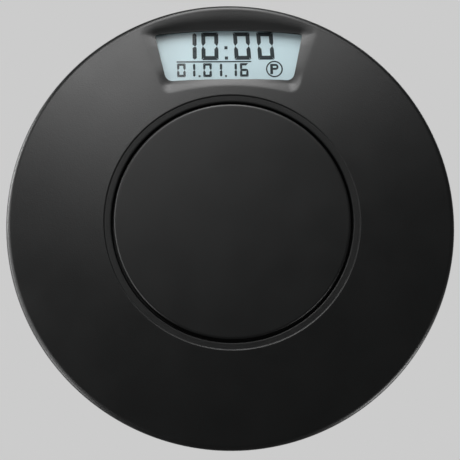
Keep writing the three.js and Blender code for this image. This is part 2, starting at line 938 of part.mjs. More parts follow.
// Spring leaf under the cell's cap: a soldered middle with two ends bent up to the cell
function negativeContact() {
  const half = leafLength / 2;
  const bend = half / 2;
  const low = boardRearY + seatGap;
  const rise = cellFrontY - seatGap - contactSheet;
  const side = new THREE.Shape([
    new THREE.Vector2(-half, rise),
    new THREE.Vector2(-bend, low),
    new THREE.Vector2(bend, low),
    new THREE.Vector2(half, rise),
    new THREE.Vector2(half, rise + contactSheet),
    new THREE.Vector2(bend, low + contactSheet),
    new THREE.Vector2(-bend, low + contactSheet),
    new THREE.Vector2(-half, rise + contactSheet),
  ]);
  return solid(
    new THREE.ExtrudeGeometry(side, { depth: leafWidth, bevelEnabled: false }).translate(
      0,
      0,
      -leafWidth / 2,
    ),
  );
}

// Clip that bears on the side of the cell's can through a notch in the bay
function positiveContact() {
  const innerZ = -cellRadius - runGap;
  const low = boardRearY + seatGap;
  const foot = block(
    -clipWidth / 2,
    clipWidth / 2,
    low,
    low + contactSheet,
    innerZ - clipFoot,
    innerZ,
  );
  const upright = block(
    -clipWidth / 2,
    clipWidth / 2,
    low,
    cellFrontY + clipHeight - runGap,
    innerZ - contactSheet,
    innerZ,
  );
  return foot.add(upright);
}

function windowLens() {
  const shape = fanShape(grow(windowFan, lensLap));
  return prism(shape, lensFrontY, lensFrontY + lensThickness);
}

// Display pieces are rectangles, kept inside the skirt by a circle where they would reach it
const windowCorner = fanCorner(windowFan, windowFan.topRadius, windowFan.topCentreZ);
const displayHalfWidth = windowCorner.x + displaySideLap;
const holderRadius = skirtInnerRadius - runGap - seatGap;
const glassRadius = holderRadius - holderWall - holderGap;

function displayPrism(halfWidth, lowZ, highZ, radius, frontY, rearY) {
  const trim = bar(radius, frontY - overrun, rearY + overrun, discSegments);
  return prism(boxShape(halfWidth, lowZ, highZ), frontY, rearY).intersect(trim);
}

function windowGasket() {
  const frame = displayPrism(
    displayHalfWidth,
    displayBottomZ,
    displayTopZ + gasketTopLap,
    holderRadius - holderWall,
    pocketRearY + seatGap,
    gasketRearY,
  );
  const opening = grow(windowFan, gasketReveal);
  return frame.subtract(prism(fanShape(opening), pocketRearY, gasketRearY + overrun));
}

function displayFilm(frontY) {
  return displayPrism(
    displayHalfWidth - filmInset,
    displayBottomZ + displayLedge + filmInset,
    displayTopZ - filmInset,
    glassRadius - filmInset,
    frontY,
    frontY + polariserThickness,
  );
}

// Two glass plates, the rear one shorter so that the front one's contacts lie bare
function displayGlass() {
  const frontGlass = displayPrism(
    displayHalfWidth,
    displayBottomZ,
    displayTopZ,
    glassRadius,
    glassFrontY,
    rearGlassY,
  );
  const rearGlass = displayPrism(
    displayHalfWidth,
    displayBottomZ + displayLedge,
    displayTopZ,
    glassRadius,
    rearGlassY - glassThickness / 2,
    reflectorFrontY,
  );
  return frontGlass.add(rearGlass);
}

function contactStrip() {
  const middle = displayBottomZ + displayLedge / 2;
  return prism(
    boxShape(displayHalfWidth - stripInset, middle - stripWidth / 2, middle + stripWidth / 2),
    rearGlassY + seatGap,
    boardFrontY - seatGap,
  );
}

// Frame that centres the display on the board
function displayHolder() {
  const frontY = gasketRearY + seatGap;
  const rearY = boardFrontY - seatGap;
  const reach = holderGap + holderWall;
  const outer = displayPrism(
    displayHalfWidth + reach,
    displayBottomZ - reach,
    displayTopZ + reach,
    holderRadius,
    frontY,
    rearY,
  );
  const inner = displayPrism(
    displayHalfWidth + holderGap,
    displayBottomZ - holderGap,
    displayTopZ + holderGap,
    holderRadius - holderWall,
    frontY - overrun,
    rearY + overrun,
  );
  return outer.subtract(inner);
}

function circuitBoard() {
  const plain = bar(boardRadius, boardFrontY, boardRearY, discSegments);
  const caseHole = bar(
    caseScrewShank + screwHoleGap,
    boardFrontY - overrun,
    boardRearY + overrun,
    smallSegments,
  );
  const boardHole = bar(
    boardScrewShank + screwHoleGap,
    boardFrontY - overrun,
    boardRearY + overrun,
    smallSegments,
  );
  return cut(plain, [
    ...caseScrewPlaces.map((place) => moved(caseHole, place)),
    ...boardScrewPlaces.map((place) => moved(boardHole, place)),
  ]);
}

// Pan-headed screw along Y, drawn about its own axis with its head at the rear
function screw(headRadius, headFrontY, headRearY, shankRadius, tipY) {
  return revolve(
    [
      [0, tipY],
      [shankRadius / 2, tipY],
      [shankRadius, tipY + shankRadius],
      [shankRadius, headFrontY],
      [headRadius, headFrontY],
      [headRadius, (headFrontY + headRearY) / 2],
      [headRadius * screwCrownShare, headRearY],
      [0, headRearY],
    ],
    smallSegments,
  );
}

function caseScrew() {
  return screw(
    caseScrewHeadRadius,
    caseScrewHeadFrontY,
    caseScrewHeadRearY,
    caseScrewShank,
    caseScrewTipY,
  );
}

function boardScrew() {
  const frontY = boardRearY + seatGap;
  return screw(
    boardScrewHeadRadius,
    frontY,
    frontY + boardScrewHead,
    boardScrewShank,
    boardScrewTipY,
  );
}

// Depths of the button stack, from the board to the cap's face
const switchRearY = boardRearY + seatGap + switchHeight;
const plungerFrontY = switchRearY - plungerSeat + buttonTravel + seatGap;
const plungerRearY = plungerFrontY + plungerHeight;
const flangeRearY = rearInnerY - seatGap * 2;

function switchBody() {
  const half = switchSize / 2;
  const body = block(-half, half, boardRearY + seatGap, switchRearY, -half, half);
  const bore = bar(
    plungerRadius + runGap,
    switchRearY - plungerSeat,
    switchRearY + overrun,
    smallSegments,
  );
  return body.subtract(bore);
}

function switchPlunger() {
  return bar(plungerRadius, plungerFrontY, plungerRearY, smallSegments);
}

function setButton() {
  return revolve(
    [
      [0, plungerRearY + seatGap],
      [buttonStemRadius, plungerRearY + seatGap],
      [buttonStemRadius, flangeRearY - buttonFlange],
      [buttonRadius + buttonFlangeReach, flangeRearY - buttonFlange],
      [buttonRadius + buttonFlangeReach, flangeRearY],
      [buttonRadius, flangeRearY],
      [buttonRadius, rearY - buttonInset - coverChamfer],
      [buttonRadius - coverChamfer, rearY - buttonInset],
      [0, rearY - buttonInset],
    ],
    smallSegments,
  );
}

function onBoard(width, height, length) {
  const low = boardRearY + seatGap;
  return block(-width / 2, width / 2, low, low + height, -length / 2, length / 2);
}

function clockCrystal() {
  const can = new THREE.CylinderGeometry(
    crystalRadius,
    crystalRadius,
    crystalLength,
    smallSegments,
  );
  can.rotateZ(Math.PI / 2).translate(0, boardRearY + seatGap + crystalRadius, 0);
  return solid(can);
}

// Finishes
function finish(color, roughness, metalness = 0) {
  return new THREE.MeshStandardMaterial({ color, roughness, metalness });
}
const blackAbs = () => finish(0x242526, 0.45);
const darkRubber = () => finish(0x1a1b1c, 0.75);
const clearPlastic = () => finish(0xdfe8ea, 0.08);
const displayFilmGrey = () => finish(0xb9c6c8, 0.35);
const boardGreen = () => finish(0x1f5a3c, 0.5);
const chipBlack = () => finish(0x1b1b1d, 0.6);
const nickel = () => finish(0xb9b7b0, 0.3, 1);
const zincSteel = () => finish(0x9aa0a4, 0.35, 1);

// Makes one named piece and places it
function piece(parent, name, body, material, place = new THREE.Vector3()) {
  const mesh = new THREE.Mesh(geometryOf(body), material);
  mesh.name = name;
  mesh.position.copy(place);
  parent.add(mesh);
}

const disc = new THREE.Group();
const windscreenSide = new THREE.Group();
const housing = new THREE.Group();
const display = new THREE.Group();
const electronics = new THREE.Group();
const fasteners = new THREE.Group();
const bay = new THREE.Group();
disc.add(windscreenSide, housing);
housing.add(display, electronics, fasteners, bay);

piece(windscreenSide, "mount_plate", mountPlate(), blackAbs());

piece(housing, "front_cover", frontCover(), blackAbs());
piece(housing, "rear_cover", rearCover(), blackAbs());

piece(display, "window_lens", windowLens(), clearPlastic());
piece(display, "window_gasket", windowGasket(), darkRubber());
piece(display, "display_polariser", displayFilm(polariserFrontY), displayFilmGrey());
piece(display, "display_glass", displayGlass(), clearPlastic());
piece(display, "display_reflector", displayFilm(reflectorFrontY), displayFilmGrey());
piece(display, "contact_strip", contactStrip(), darkRubber());
piece(display, "display_holder", displayHolder(), blackAbs());

piece(electronics, "circuit_board", circuitBoard(), boardGreen());
piece(
  electronics,
  "controller_chip",
  onBoard(chipSize, chipHeight, chipSize),
  chipBlack(),
  polar(partsCircle, chipDegrees),
);
piece(
  electronics,
  "motion_sensor",
  onBoard(sensorSize, sensorHeight, sensorSize),
  chipBlack(),
  polar(partsCircle, sensorDegrees),
);
piece(
  electronics,
  "clock_crystal",
  clockCrystal(),
  zincSteel(),
  polar(partsCircle, crystalDegrees),
);
piece(
  electronics,
  "reservoir_capacitor",
  onBoard(capacitorLength, capacitorHeight, capacitorWidth),
  chipBlack(),
  polar(partsCircle, capacitorDegrees),
);
for (const [side, x] of [
  ["left", -buttonX],
  ["right", buttonX],
]) {
  const place = new THREE.Vector3(x, 0, buttonZ);
  piece(electronics, `switch_body_${side}`, switchBody(), chipBlack(), place);
  piece(electronics, `switch_plunger_${side}`, switchPlunger(), chipBlack(), place);
  piece(housing, `set_button_${side}`, setButton(), darkRubber(), place);
}

piece(bay, "coin_cell", coinCell(), zincSteel());
piece(bay, "negative_contact", negativeContact(), nickel());
piece(bay, "positive_contact", positiveContact(), nickel());
piece(bay, "cover_seal", coverSeal(), darkRubber());
piece(bay, "battery_cover", batteryCover(), blackAbs());

caseScrewPlaces.forEach((place, i) => {
  piece(fasteners, `case_screw_${i + 1}`, caseScrew(), zincSteel(), place);
});
boardScrewPlaces.forEach((place, i) => {
  piece(fasteners, `board_screw_${i + 1}`, boardScrew(), zincSteel(), place);
});

export default disc;
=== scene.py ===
"""Round electronic parking disc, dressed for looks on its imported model.

The parts' classes hold their sizes in millimetres and the studio's classes in metres, in the
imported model's frame: X to the right, Z up, the front towards -Y. A mesh gets its places in
metres when it is made.
"""

import logging
import math
from dataclasses import dataclass, replace
from enum import Enum
from typing import Callable, Iterable, Mapping, Sequence

import bpy
import numpy as np
from mathutils import Matrix, Vector


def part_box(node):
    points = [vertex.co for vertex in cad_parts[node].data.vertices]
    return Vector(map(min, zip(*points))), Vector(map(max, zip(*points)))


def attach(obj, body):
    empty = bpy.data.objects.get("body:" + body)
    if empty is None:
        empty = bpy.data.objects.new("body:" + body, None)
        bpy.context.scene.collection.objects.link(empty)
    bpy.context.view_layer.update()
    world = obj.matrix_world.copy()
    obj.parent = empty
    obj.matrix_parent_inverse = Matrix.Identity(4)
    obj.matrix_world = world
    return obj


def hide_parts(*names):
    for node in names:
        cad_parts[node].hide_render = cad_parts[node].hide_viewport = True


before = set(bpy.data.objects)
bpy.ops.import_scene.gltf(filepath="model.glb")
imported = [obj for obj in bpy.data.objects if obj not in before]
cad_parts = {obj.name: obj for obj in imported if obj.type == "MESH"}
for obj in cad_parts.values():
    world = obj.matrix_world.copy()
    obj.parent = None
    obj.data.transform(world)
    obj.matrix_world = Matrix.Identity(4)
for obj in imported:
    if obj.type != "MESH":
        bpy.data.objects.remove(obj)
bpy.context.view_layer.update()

LOG = logging.getLogger("parking_disc")
MM = 0.001
FULL_TURN = 360.0
PATCH_SPAN = (0.3, 0.7)  # where nearly all of a noise texture's values lie
Outline = Sequence[tuple[float, float]]
Lift = Callable[[np.ndarray, np.ndarray, np.ndarray], np.ndarray]


class Body(Enum):
    """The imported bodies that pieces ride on."""

    MOUNT = "mount"
    HOUSING = "housing"
    BATTERY_COVER = "battery_cover"
    LEFT_BUTTON = "left_button"
    RIGHT_BUTTON = "right_button"


class Boolean(Enum):
    """Ways to combine two closed meshes."""

    JOIN = "UNION"
    CUT = "DIFFERENCE"


# ---- Materials


def add_node(
    tree: bpy.types.NodeTree,
    kind: str,
    inputs: Mapping[str | int, object] | None = None,
    **settings: object,
) -> bpy.types.Node:
    """Adds one node with its settings, values and links.

    Args:
        tree: The tree that the node joins.
        kind: The node's type.
        inputs: What each input gets, by name or place: a socket to link from, or a value.
        settings: The node's own properties.

    Returns:
        The new node.
    """
    node = tree.nodes.new(kind)
    for name, value in settings.items():
        setattr(node, name, value)
    for key, value in (inputs or {}).items():
        if isinstance(value, bpy.types.NodeSocket):
            tree.links.new(value, node.inputs[key])
        else:
            node.inputs[key].default_value = value
    return node


def linear(code: str) -> tuple[float, float, float, float]:
    """Turns an sRGB hex code into linear red, green and blue, with alpha 1."""
    parts = [int(code[i : i + 2], 16) / 255 for i in (1, 3, 5)]
    red, green, blue = (p / 12.92 if p <= 0.04045 else ((p + 0.055) / 1.055) ** 2.4 for p in parts)
    return red, green, blue, 1.0


def blank_material(name: str) -> tuple[bpy.types.Material, bpy.types.NodeTree]:
    """Makes a material with an empty node tree.

    Args:
        name: The material's name.

    Returns:
        The material and its tree.
    """
    material = bpy.data.materials.new(name)
    material.use_nodes = True
    material.node_tree.nodes.clear()
    return material, material.node_tree


@dataclass(frozen=True)
class GrainedFinish:
    """An opaque finish whose fine grain and faint unevenness come from noise in object space."""

    name: str
    colour: str
    colour_worn: str
    roughness: float
    roughness_spread: float
    grain_mm: float
    grain_depth_mm: float
    patch_mm: float = 9.0
    metallic: float = 0.0
    ior: float = 1.5
    stretch: tuple[float, float, float] = (1.0, 1.0, 1.0)

    def build(self) -> bpy.types.Material:
        """Makes the material."""
        material, tree = blank_material(self.name)
        place = add_node(tree, "ShaderNodeTexCoord").outputs["Object"]
        placed = add_node(
            tree, "ShaderNodeMapping", {"Vector": place, "Scale": self.stretch}
        ).outputs["Vector"]
        patches = add_node(
            tree,
            "ShaderNodeTexNoise",
            {"Vector": place, "Scale": 1 / (self.patch_mm * MM), "Detail": 3.0},
        ).outputs["Fac"]
        grain = add_node(
            tree,
            "ShaderNodeTexNoise",
            {"Vector": placed, "Scale": 1 / (self.grain_mm * MM), "Detail": 2.0},
        ).outputs["Fac"]
        colour = add_node(
            tree,
            "ShaderNodeMix",
            {"Factor": patches, 6: linear(self.colour), 7: linear(self.colour_worn)},
            data_type="RGBA",
        ).outputs[2]
        rough = add_node(
            tree,
            "ShaderNodeMapRange",
            {
                "Value": patches,
                "From Min": PATCH_SPAN[0],
                "From Max": PATCH_SPAN[1],
                "To Min": self.roughness - self.roughness_spread,
                "To Max": self.roughness + self.roughness_spread,
            },
        ).outputs["Result"]
        bump = add_node(
            tree,
            "ShaderNodeBump",
            {"Height": grain, "Strength": 1.0, "Distance": self.grain_depth_mm * MM},
        ).outputs["Normal"]
        shader = add_node(
            tree,
            "ShaderNodeBsdfPrincipled",
            {
                "Base Color": colour,
                "Roughness": rough,
                "Metallic": self.metallic,
                "IOR": self.ior,
                "Normal": bump,
            },
        )
        add_node(tree, "ShaderNodeOutputMaterial", {"Surface": shader.outputs["BSDF"]})
        return material


@dataclass(frozen=True)
class ClearFinish:
    """A clear sheet: what is behind shows through, and its face mirrors by Fresnel."""

    name: str
    tint: str
    roughness: float
    ior: float

    def build(self) -> bpy.types.Material:
        """Makes the material."""
        material, tree = blank_material(self.name)
        through = add_node(tree, "ShaderNodeBsdfTransparent", {"Color": linear(self.tint)})
        gloss = add_node(tree, "ShaderNodeBsdfGlossy", {"Roughness": self.roughness})
        inside = add_node(tree, "ShaderNodeNewGeometry").outputs["Backfacing"]
        outward = {"Value": inside, "To Min": self.ior, "To Max": 1 / self.ior}
        index = add_node(tree, "ShaderNodeMapRange", outward).outputs["Result"]
        share = add_node(tree, "ShaderNodeFresnel", {"IOR": index}).outputs["Fac"]
        both = add_node(
            tree,
            "ShaderNodeMixShader",
            {0: share, 1: through.outputs["BSDF"], 2: gloss.outputs["BSDF"]},
        )
        add_node(tree, "ShaderNodeOutputMaterial", {"Surface": both.outputs["Shader"]})
        return material


# Injection-moulded ABS in black: a satin skin with a 0.3 mm grain, which spreads a softbox into a
# wide grey sheen
MOULDED_ABS = GrainedFinish(
    "moulded_black_abs", "#090a0a", "#0c0d0d", 0.36, 0.02, 0.28, 0.02, ior=1.5
)
# The same ABS on the plate, whose skin mirrors a little less
PLATE_ABS = GrainedFinish(
    "plate_black_abs", "#090a0a", "#0c0d0d", 0.37, 0.02, 0.3, 0.003, ior=1.475
)
# The same ABS on parts with a slightly coarser spark-eroded texture
TEXTURED_ABS = GrainedFinish(
    "textured_black_abs", "#0f1011", "#131414", 0.42, 0.03, 0.3, 0.005, ior=1.5
)
# Closed-cell foam: dead matt, with pores of about 0.2 mm
CELL_FOAM = GrainedFinish("closed_cell_foam", "#0b0b0c", "#101011", 0.9, 0.04, 0.2, 0.02)
# Moulded silicone rubber: black, matt, with a soft edge to its highlight
SILICONE = GrainedFinish(
    "moulded_silicone_rubber", "#1b1c1d", "#202122", 0.58, 0.03, 0.25, 0.004, ior=1.43
)
# Display film over a reflector: pale blue-grey and even, like paper behind glass
DISPLAY_FILM = GrainedFinish(
    "reflective_display_film", "#daeaf0", "#deedf3", 0.42, 0.04, 0.12, 0.0006, patch_mm=14.0
)
# Dyed liquid crystal in a lit segment: blue-black with no texture of its own
DYED_CRYSTAL = GrainedFinish(
    "dyed_liquid_crystal", "#152227", "#1a282e", 0.45, 0.02, 0.2, 0.0
)
# Green solder mask on glass laminate, with the weave showing faintly through
SOLDER_MASK = GrainedFinish(
    "green_solder_mask", "#1d5a3a", "#256746", 0.35, 0.05, 0.6, 0.006, patch_mm=5.0
)
# Transfer-moulded epoxy: charcoal, with a fine matt blast
MOULDED_EPOXY = GrainedFinish(
    "moulded_epoxy", "#1e1f21", "#252628", 0.6, 0.05, 0.12, 0.004
)
# Nickel-plated spring sheet: warm silver with rolling lines along the strip
NICKEL_SHEET = GrainedFinish(
    "nickel_plated_spring_sheet", "#b9b4a8", "#c6c1b5", 0.3, 0.06, 0.15, 0.002,
    metallic=1.0, stretch=(0.1, 1.0, 1.0),
)
# Pressed nickel-plated steel: bright satin can of the coin cell
PRESSED_CAN = GrainedFinish(
    "pressed_nickel_steel", "#b4b6b8", "#c2c4c5", 0.27, 0.05, 0.2, 0.001, metallic=1.0
)
# Zinc-plated steel: grey with a faint blue cast and a slightly mottled gloss
ZINC_STEEL = GrainedFinish(
    "zinc_plated_steel", "#9ba1a6", "#aab0b4", 0.34, 0.08, 0.25, 0.002, 2.0, metallic=1.0
)
# Cast acrylic window: clear, polished, with a trace of grey in the sheet
CAST_ACRYLIC = ClearFinish("cast_acrylic", "#fbfdfd", 0.05, 1.49)
# Float glass of the display, 0.4 mm thick: clear with a trace of green
DISPLAY_GLASS = ClearFinish("display_float_glass", "#eaf1ee", 0.02, 1.52)


# ---- Meshes


def new_piece(
    name: str,
    points: np.ndarray,
    faces: Sequence[Sequence[int]],
    material: bpy.types.Material | None,
) -> bpy.types.Object:
    """Makes an object from points in millimetres.

    Args:
        name: The object's name.
        points: One row of x, y and z for each point.
        faces: The corners of each face.
        material: The finish, or None for a cutter.

    Returns:
        The object, linked to the scene.
    """
    mesh = bpy.data.meshes.new(name)
    mesh.from_pydata((np.asarray(points) * MM).tolist(), [], faces)
    if material:
        mesh.materials.append(material)
    thing = bpy.data.objects.new(name, mesh)
    bpy.context.scene.collection.objects.link(thing)
    return thing


def polar(radius: float, degrees: float) -> tuple[float, float]:
    """Gives x and z of a place on a circle about the disc's axis, from +X towards +Z."""
    angle = math.radians(degrees)
    return radius * math.cos(angle), radius * math.sin(angle)


def even_angles(steps: int) -> np.ndarray:
    """Gives that many angles in degrees, spread evenly over a turn."""
    return np.arange(steps) * FULL_TURN / steps


def quarter_turn(steps: int) -> list[float]:
    """Gives the angles in radians of the points on a quarter turn."""
    return [math.radians(90 * i / steps) for i in range(steps + 1)]


def revolve(
    name: str,
    outline: Outline,
    angles: np.ndarray,
    material: bpy.types.Material | None = None,
    centre: tuple[float, float] = (0.0, 0.0),
    lift: Lift | None = None,
) -> bpy.types.Object:
    """Turns an outline of radius and y about an axis along Y into a closed mesh.

    Args:
        name: The object's name.
        outline: Anticlockwise as seen with the radius to the right and y up.
        angles: Where the columns stand, in rising degrees.
        material: The finish, or None for a cutter.
        centre: x and z of the axis.
        lift: Changes y from x, z and y, for a face that isn't round.

    Returns:
        The object. An outline that starts and ends on the axis isn't joined along it.
    """
    turn = np.radians(angles)
    count = len(turn)
    rows: list[np.ndarray] = []
    starts: list[int] = []
    total = 0
    for radius, y in outline:
        columns = 1 if radius == 0 else count
        x = centre[0] + radius * np.cos(turn[:columns])
        z = centre[1] + radius * np.sin(turn[:columns])
        level = np.full(columns, float(y))
        rows.append(np.stack([x, level if lift is None else lift(x, z, level), z], axis=1))
        starts.append(total)
        total += columns
    faces: list[tuple[int, ...]] = []
    pairs = len(outline) if outline[0][0] > 0 else len(outline) - 1
    for row in range(pairs):
        other = (row + 1) % len(outline)
        low, high = starts[row], starts[other]
        for i in range(count):
            j = (i + 1) % count
            if outline[row][0] == 0:
                faces.append((low, high + i, high + j))
            elif outline[other][0] == 0:
                faces.append((low + j, low + i, high))
            else:
                faces.append((low + j, low + i, high + i, high + j))
    return new_piece(name, np.concatenate(rows), faces, material)


def loft(
    name: str, rings: Sequence[np.ndarray], material: bpy.types.Material | None = None
) -> bpy.types.Object:
    """Skins rings of x, y and z, given from the front to the rear.

    Args:
        name: The object's name.
        rings: Each anticlockwise in x and z, with as many points as the others.
        material: The finish, or None for a cutter.

    Returns:
        The closed object.
    """
    count = len(rings[0])
    faces: list[tuple[int, ...]] = [tuple(range(count))]
    for k in range(len(rings) - 1):
        here, ahead = k * count, (k + 1) * count
        for i in range(count):
            j = (i + 1) % count
            faces.append((here + j, here + i, ahead + i, ahead + j))
    last = (len(rings) - 1) * count
    faces.append(tuple(range(last + count - 1, last - 1, -1)))
    return new_piece(name, np.concatenate(rings), faces, material)


def flat_ring(loop: np.ndarray, y: float) -> np.ndarray:
    """Stands a loop of x and z at one depth."""
    return np.stack([loop[:, 0], np.full(len(loop), y), loop[:, 1]], axis=1)


def prism(
    name: str,
    loop: np.ndarray,
    front_y: float,
    rear_y: float,
    material: bpy.types.Material | None = None,
) -> bpy.types.Object:
    """Makes a closed bar along Y from a loop of x and z."""
    return loft(name, [flat_ring(loop, front_y), flat_ring(loop, rear_y)], material)


def box_loop(low_x: float, high_x: float, low_z: float, high_z: float) -> np.ndarray:
    """Gives a rectangle, anticlockwise."""
    return np.array([(low_x, low_z), (high_x, low_z), (high_x, high_z), (low_x, high_z)])


def sector_loop(
    inner: float, outer: float, start: float, end: float, steps: int = 16
) -> np.ndarray:
    """Gives a ring sector, anticlockwise.

    Args:
        inner: The inner radius.
        outer: The outer radius.
        start: The first angle in degrees.
        end: The last angle.
        steps: How many edges each arc has.

    Returns:
        The loop of x and z.
    """
    turn = np.radians(np.linspace(start, end, steps + 1))
    arc = np.stack([np.cos(turn), np.sin(turn)], axis=1)
    return np.concatenate([outer * arc, inner * arc[::-1]])


def stadium_loop(length: float, width: float, steps: int = 12) -> np.ndarray:
    """Gives a slot with round ends along X, anticlockwise."""
    half = width / 2
    reach = length / 2 - half
    turn = np.radians(np.linspace(-90, 90, steps + 1))
    end = np.stack([reach + half * np.cos(turn), half * np.sin(turn)], axis=1)
    return np.concatenate([end, -end])


def combine(
    target: bpy.types.Object, operation: Boolean, others: Iterable[bpy.types.Object]
) -> bpy.types.Object:
    """Joins or cuts closed meshes, and deletes the ones that were used up.

    Args:
        target: The mesh that is kept.
        operation: What is done to it.
        others: The meshes that are joined to it or cut out of it.

    Returns:
        The target.
    """
    used = list(others)
    for other in used:
        step = target.modifiers.new(other.name, "BOOLEAN")
        step.operation = operation.value
        step.solver = "MANIFOLD"
        step.object = other
    bpy.context.view_layer.update()
    graph = bpy.context.evaluated_depsgraph_get()
    result = bpy.data.meshes.new_from_object(target.evaluated_get(graph))
    target.modifiers.clear()
    old, target.data = target.data, result
    result.name = old.name
    bpy.data.meshes.remove(old)
    for other in used:
        bpy.data.meshes.remove(other.data)
    return target


def smooth(piece: bpy.types.Object, sharp_degrees: float = 30.0) -> bpy.types.Object:
    """Shades a piece smooth, with edges that are steeper than an angle kept sharp."""
    piece.data.shade_smooth()
    piece.data.set_sharp_from_angle(angle=math.radians(sharp_degrees))
    return piece


def settle(
    piece: bpy.types.Object, body: Body, nodes: Sequence[str] = ()
) -> None:
    """Puts a finished piece on its body.

    Args:
        piece: The piece, in place.
        body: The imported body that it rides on.
        nodes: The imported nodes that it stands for.
    """
    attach(piece, body.value)
    if nodes:
        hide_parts(*nodes)
    LOG.info("%s: %d faces on %s", piece.name, len(piece.data.polygons), body.value)


def round_corner(
    before: tuple[float, float],
    corner: tuple[float, float],
    after: tuple[float, float],
    size: float,
    steps: int = 5,
) -> list[tuple[float, float]]:
    """Rounds one corner of an outline with a quadratic curve.

    Args:
        before: The point before the corner.
        corner: The corner.
        after: The point after it.
        size: How far from the corner the curve starts and ends.
        steps: How many edges the curve has.

    Returns:
        The curve's points.
    """
    c = Vector(corner)
    start = c + (Vector(before) - c).normalized() * size
    end = c + (Vector(after) - c).normalized() * size
    shares = [i / steps for i in range(steps + 1)]
    return [tuple(start * (1 - t) ** 2 + c * 2 * t * (1 - t) + end * t * t) for t in shares]


def rounded(
    outline: Outline, sizes: Mapping[int, float], steps: int = 5
) -> list[tuple[float, float]]:
    """Rounds chosen corners of an outline.

    Args:
        outline: The points.
        sizes: The rounding at each chosen point, by its place in the outline.
        steps: How many edges each rounding has.

    Returns:
        The new outline.
    """
    points: list[tuple[float, float]] = []
    for i, point in enumerate(outline):
        if i in sizes:
            after = outline[(i + 1) % len(outline)]
            points += round_corner(outline[i - 1], point, after, sizes[i], steps)
        else:
            points.append(point)
    return points


# ---- The disc's shared sizes


@dataclass(frozen=True)
class Fan:
    """Outline of the window or of the recess mouth: two arcs and two spreading sides."""

    top_radius: float
    top_centre: float
    bottom_radius: float
    bottom_centre: float
    side_z: float
    half_width: float
    slope: float
    top_corner: float
    bottom_corner: float
    arc_steps: int = 28
    corner_steps: int = 10

    def grown(self, margin: float) -> "Fan":
        """Gives the outline moved outwards by a margin."""
        return replace(
            self,
            top_radius=self.top_radius + margin,
            bottom_radius=self.bottom_radius - margin,
            half_width=self.half_width + margin * math.hypot(1, self.slope),
        )

    def corner(self, radius: float, centre: float) -> Vector:
        """Gives where the right side meets an arc."""
        offset = self.half_width + self.slope * (centre - self.side_z)
        a = 1 + self.slope**2
        b = self.slope * offset
        rise = (-b + math.sqrt(b * b - a * (offset * offset - radius * radius))) / a
        return Vector((offset + self.slope * rise, centre + rise))

    def loop(self) -> np.ndarray:
        """Gives the outline's points, anticlockwise from the bottom middle."""
        top = self.corner(self.top_radius, self.top_centre)
        bottom = self.corner(self.bottom_radius, self.bottom_centre)

        def arc(radius: float, centre: float, reach: float) -> list[tuple[float, float]]:
            xs = [reach * i / self.arc_steps for i in range(self.arc_steps + 1)]
            return [(x, centre + math.sqrt(radius * radius - x * x)) for x in xs]

        low = arc(self.bottom_radius, self.bottom_centre, bottom.x - self.bottom_corner)
        high = arc(self.top_radius, self.top_centre, top.x - self.top_corner)[::-1]
        low_turn = round_corner(
            low[-1], tuple(bottom), tuple(top), self.bottom_corner, self.corner_steps
        )
        high_turn = round_corner(
            tuple(bottom), tuple(top), high[0], self.top_corner, self.corner_steps
        )
        half = low[:-1] + low_turn + high_turn + high[1:]
        return np.array(half + [(-x, z) for x, z in half[-2:0:-1]])


@dataclass(frozen=True)
class Disc:
    """Sizes that more than one sub-assembly needs."""

    rim_radius: float = 50.0
    dome_radius: float = 280.0
    lip_radius: float = 28.2
    lip_y: float = 1.2
    window_sink: float = 0.88
    foot_top_y: float = 4.5
    foot_lean: float = 0.203
    mouth_rim_land: float = 2.0
    rear_y: float = 15.8
    parting_y: float = 8.6
    run_gap: float = 0.2
    overrun: float = 0.5
    window_fan: Fan = Fan(139.0, -95.0, 400.0, -367.95, 38.025, 15.65, 0.23, 0.8, 1.7)
    mouth_fan: Fan = Fan(48.0, 0.0, 57.0, -26.6, 39.2, 18.63, 0.36, 1.2, 2.2)
    bayonet_angles: tuple[float, ...] = (90.0, 210.0, 330.0)
    steps: int = 192

    def dome_y(self, radius: float | np.ndarray) -> float | np.ndarray:
        """Gives the dome's depth at a radius."""

        def sag(r: float | np.ndarray) -> float | np.ndarray:
            return self.dome_radius - np.sqrt(self.dome_radius**2 - np.square(r))

        return self.lip_y + sag(radius) - sag(self.lip_radius)

    @property
    def window_y(self) -> float:
        """Depth of the recess walls' foot at the top."""
        return float(self.dome_y(self.rim_radius - self.mouth_rim_land)) + self.window_sink

    def foot_y(self, z: float | np.ndarray) -> float | np.ndarray:
        """Gives the depth of the recess walls' foot, which leans forwards as it goes down."""
        top = self.window_fan.top_centre + self.window_fan.top_radius
        return self.foot_top_y - self.foot_lean * (top - z)


DISC = Disc()


def distance_to_loop(places: np.ndarray, loop: np.ndarray) -> tuple[np.ndarray, np.ndarray]:
    """Measures places against a closed loop.

    Args:
        places: Rows of x and z.
        loop: The loop's points, anticlockwise.

    Returns:
        The distance of each place, negative inside, and how far sideways the loop's nearest
        edge faces there, from 0 to 1.
    """
    step = np.roll(loop, -1, axis=0) - loop
    offset = places[:, None] - loop[None]
    along = np.clip((offset * step).sum(-1) / (step**2).sum(-1), 0, 1)
    gap = offset - along[..., None] * step
    squared = (gap**2).sum(-1)
    nearest = squared.argmin(axis=1)
    sideways = np.abs(step[:, 1]) / np.hypot(step[:, 0], step[:, 1])
    rise = np.where(step[:, 1] == 0, 1e-12, step[:, 1])
    above = loop[:, 1] > places[:, 1:]
    crosses = above != np.roll(above, -1, axis=1)
    reach = loop[:, 0] + offset[..., 1] * step[:, 0] / rise
    inside = (crosses & (places[:, :1] < reach)).sum(axis=1) % 2 == 1
    distance = np.sqrt(squared.min(axis=1))
    return np.where(inside, -distance, distance), sideways[nearest]


# ---- Sub-assemblies


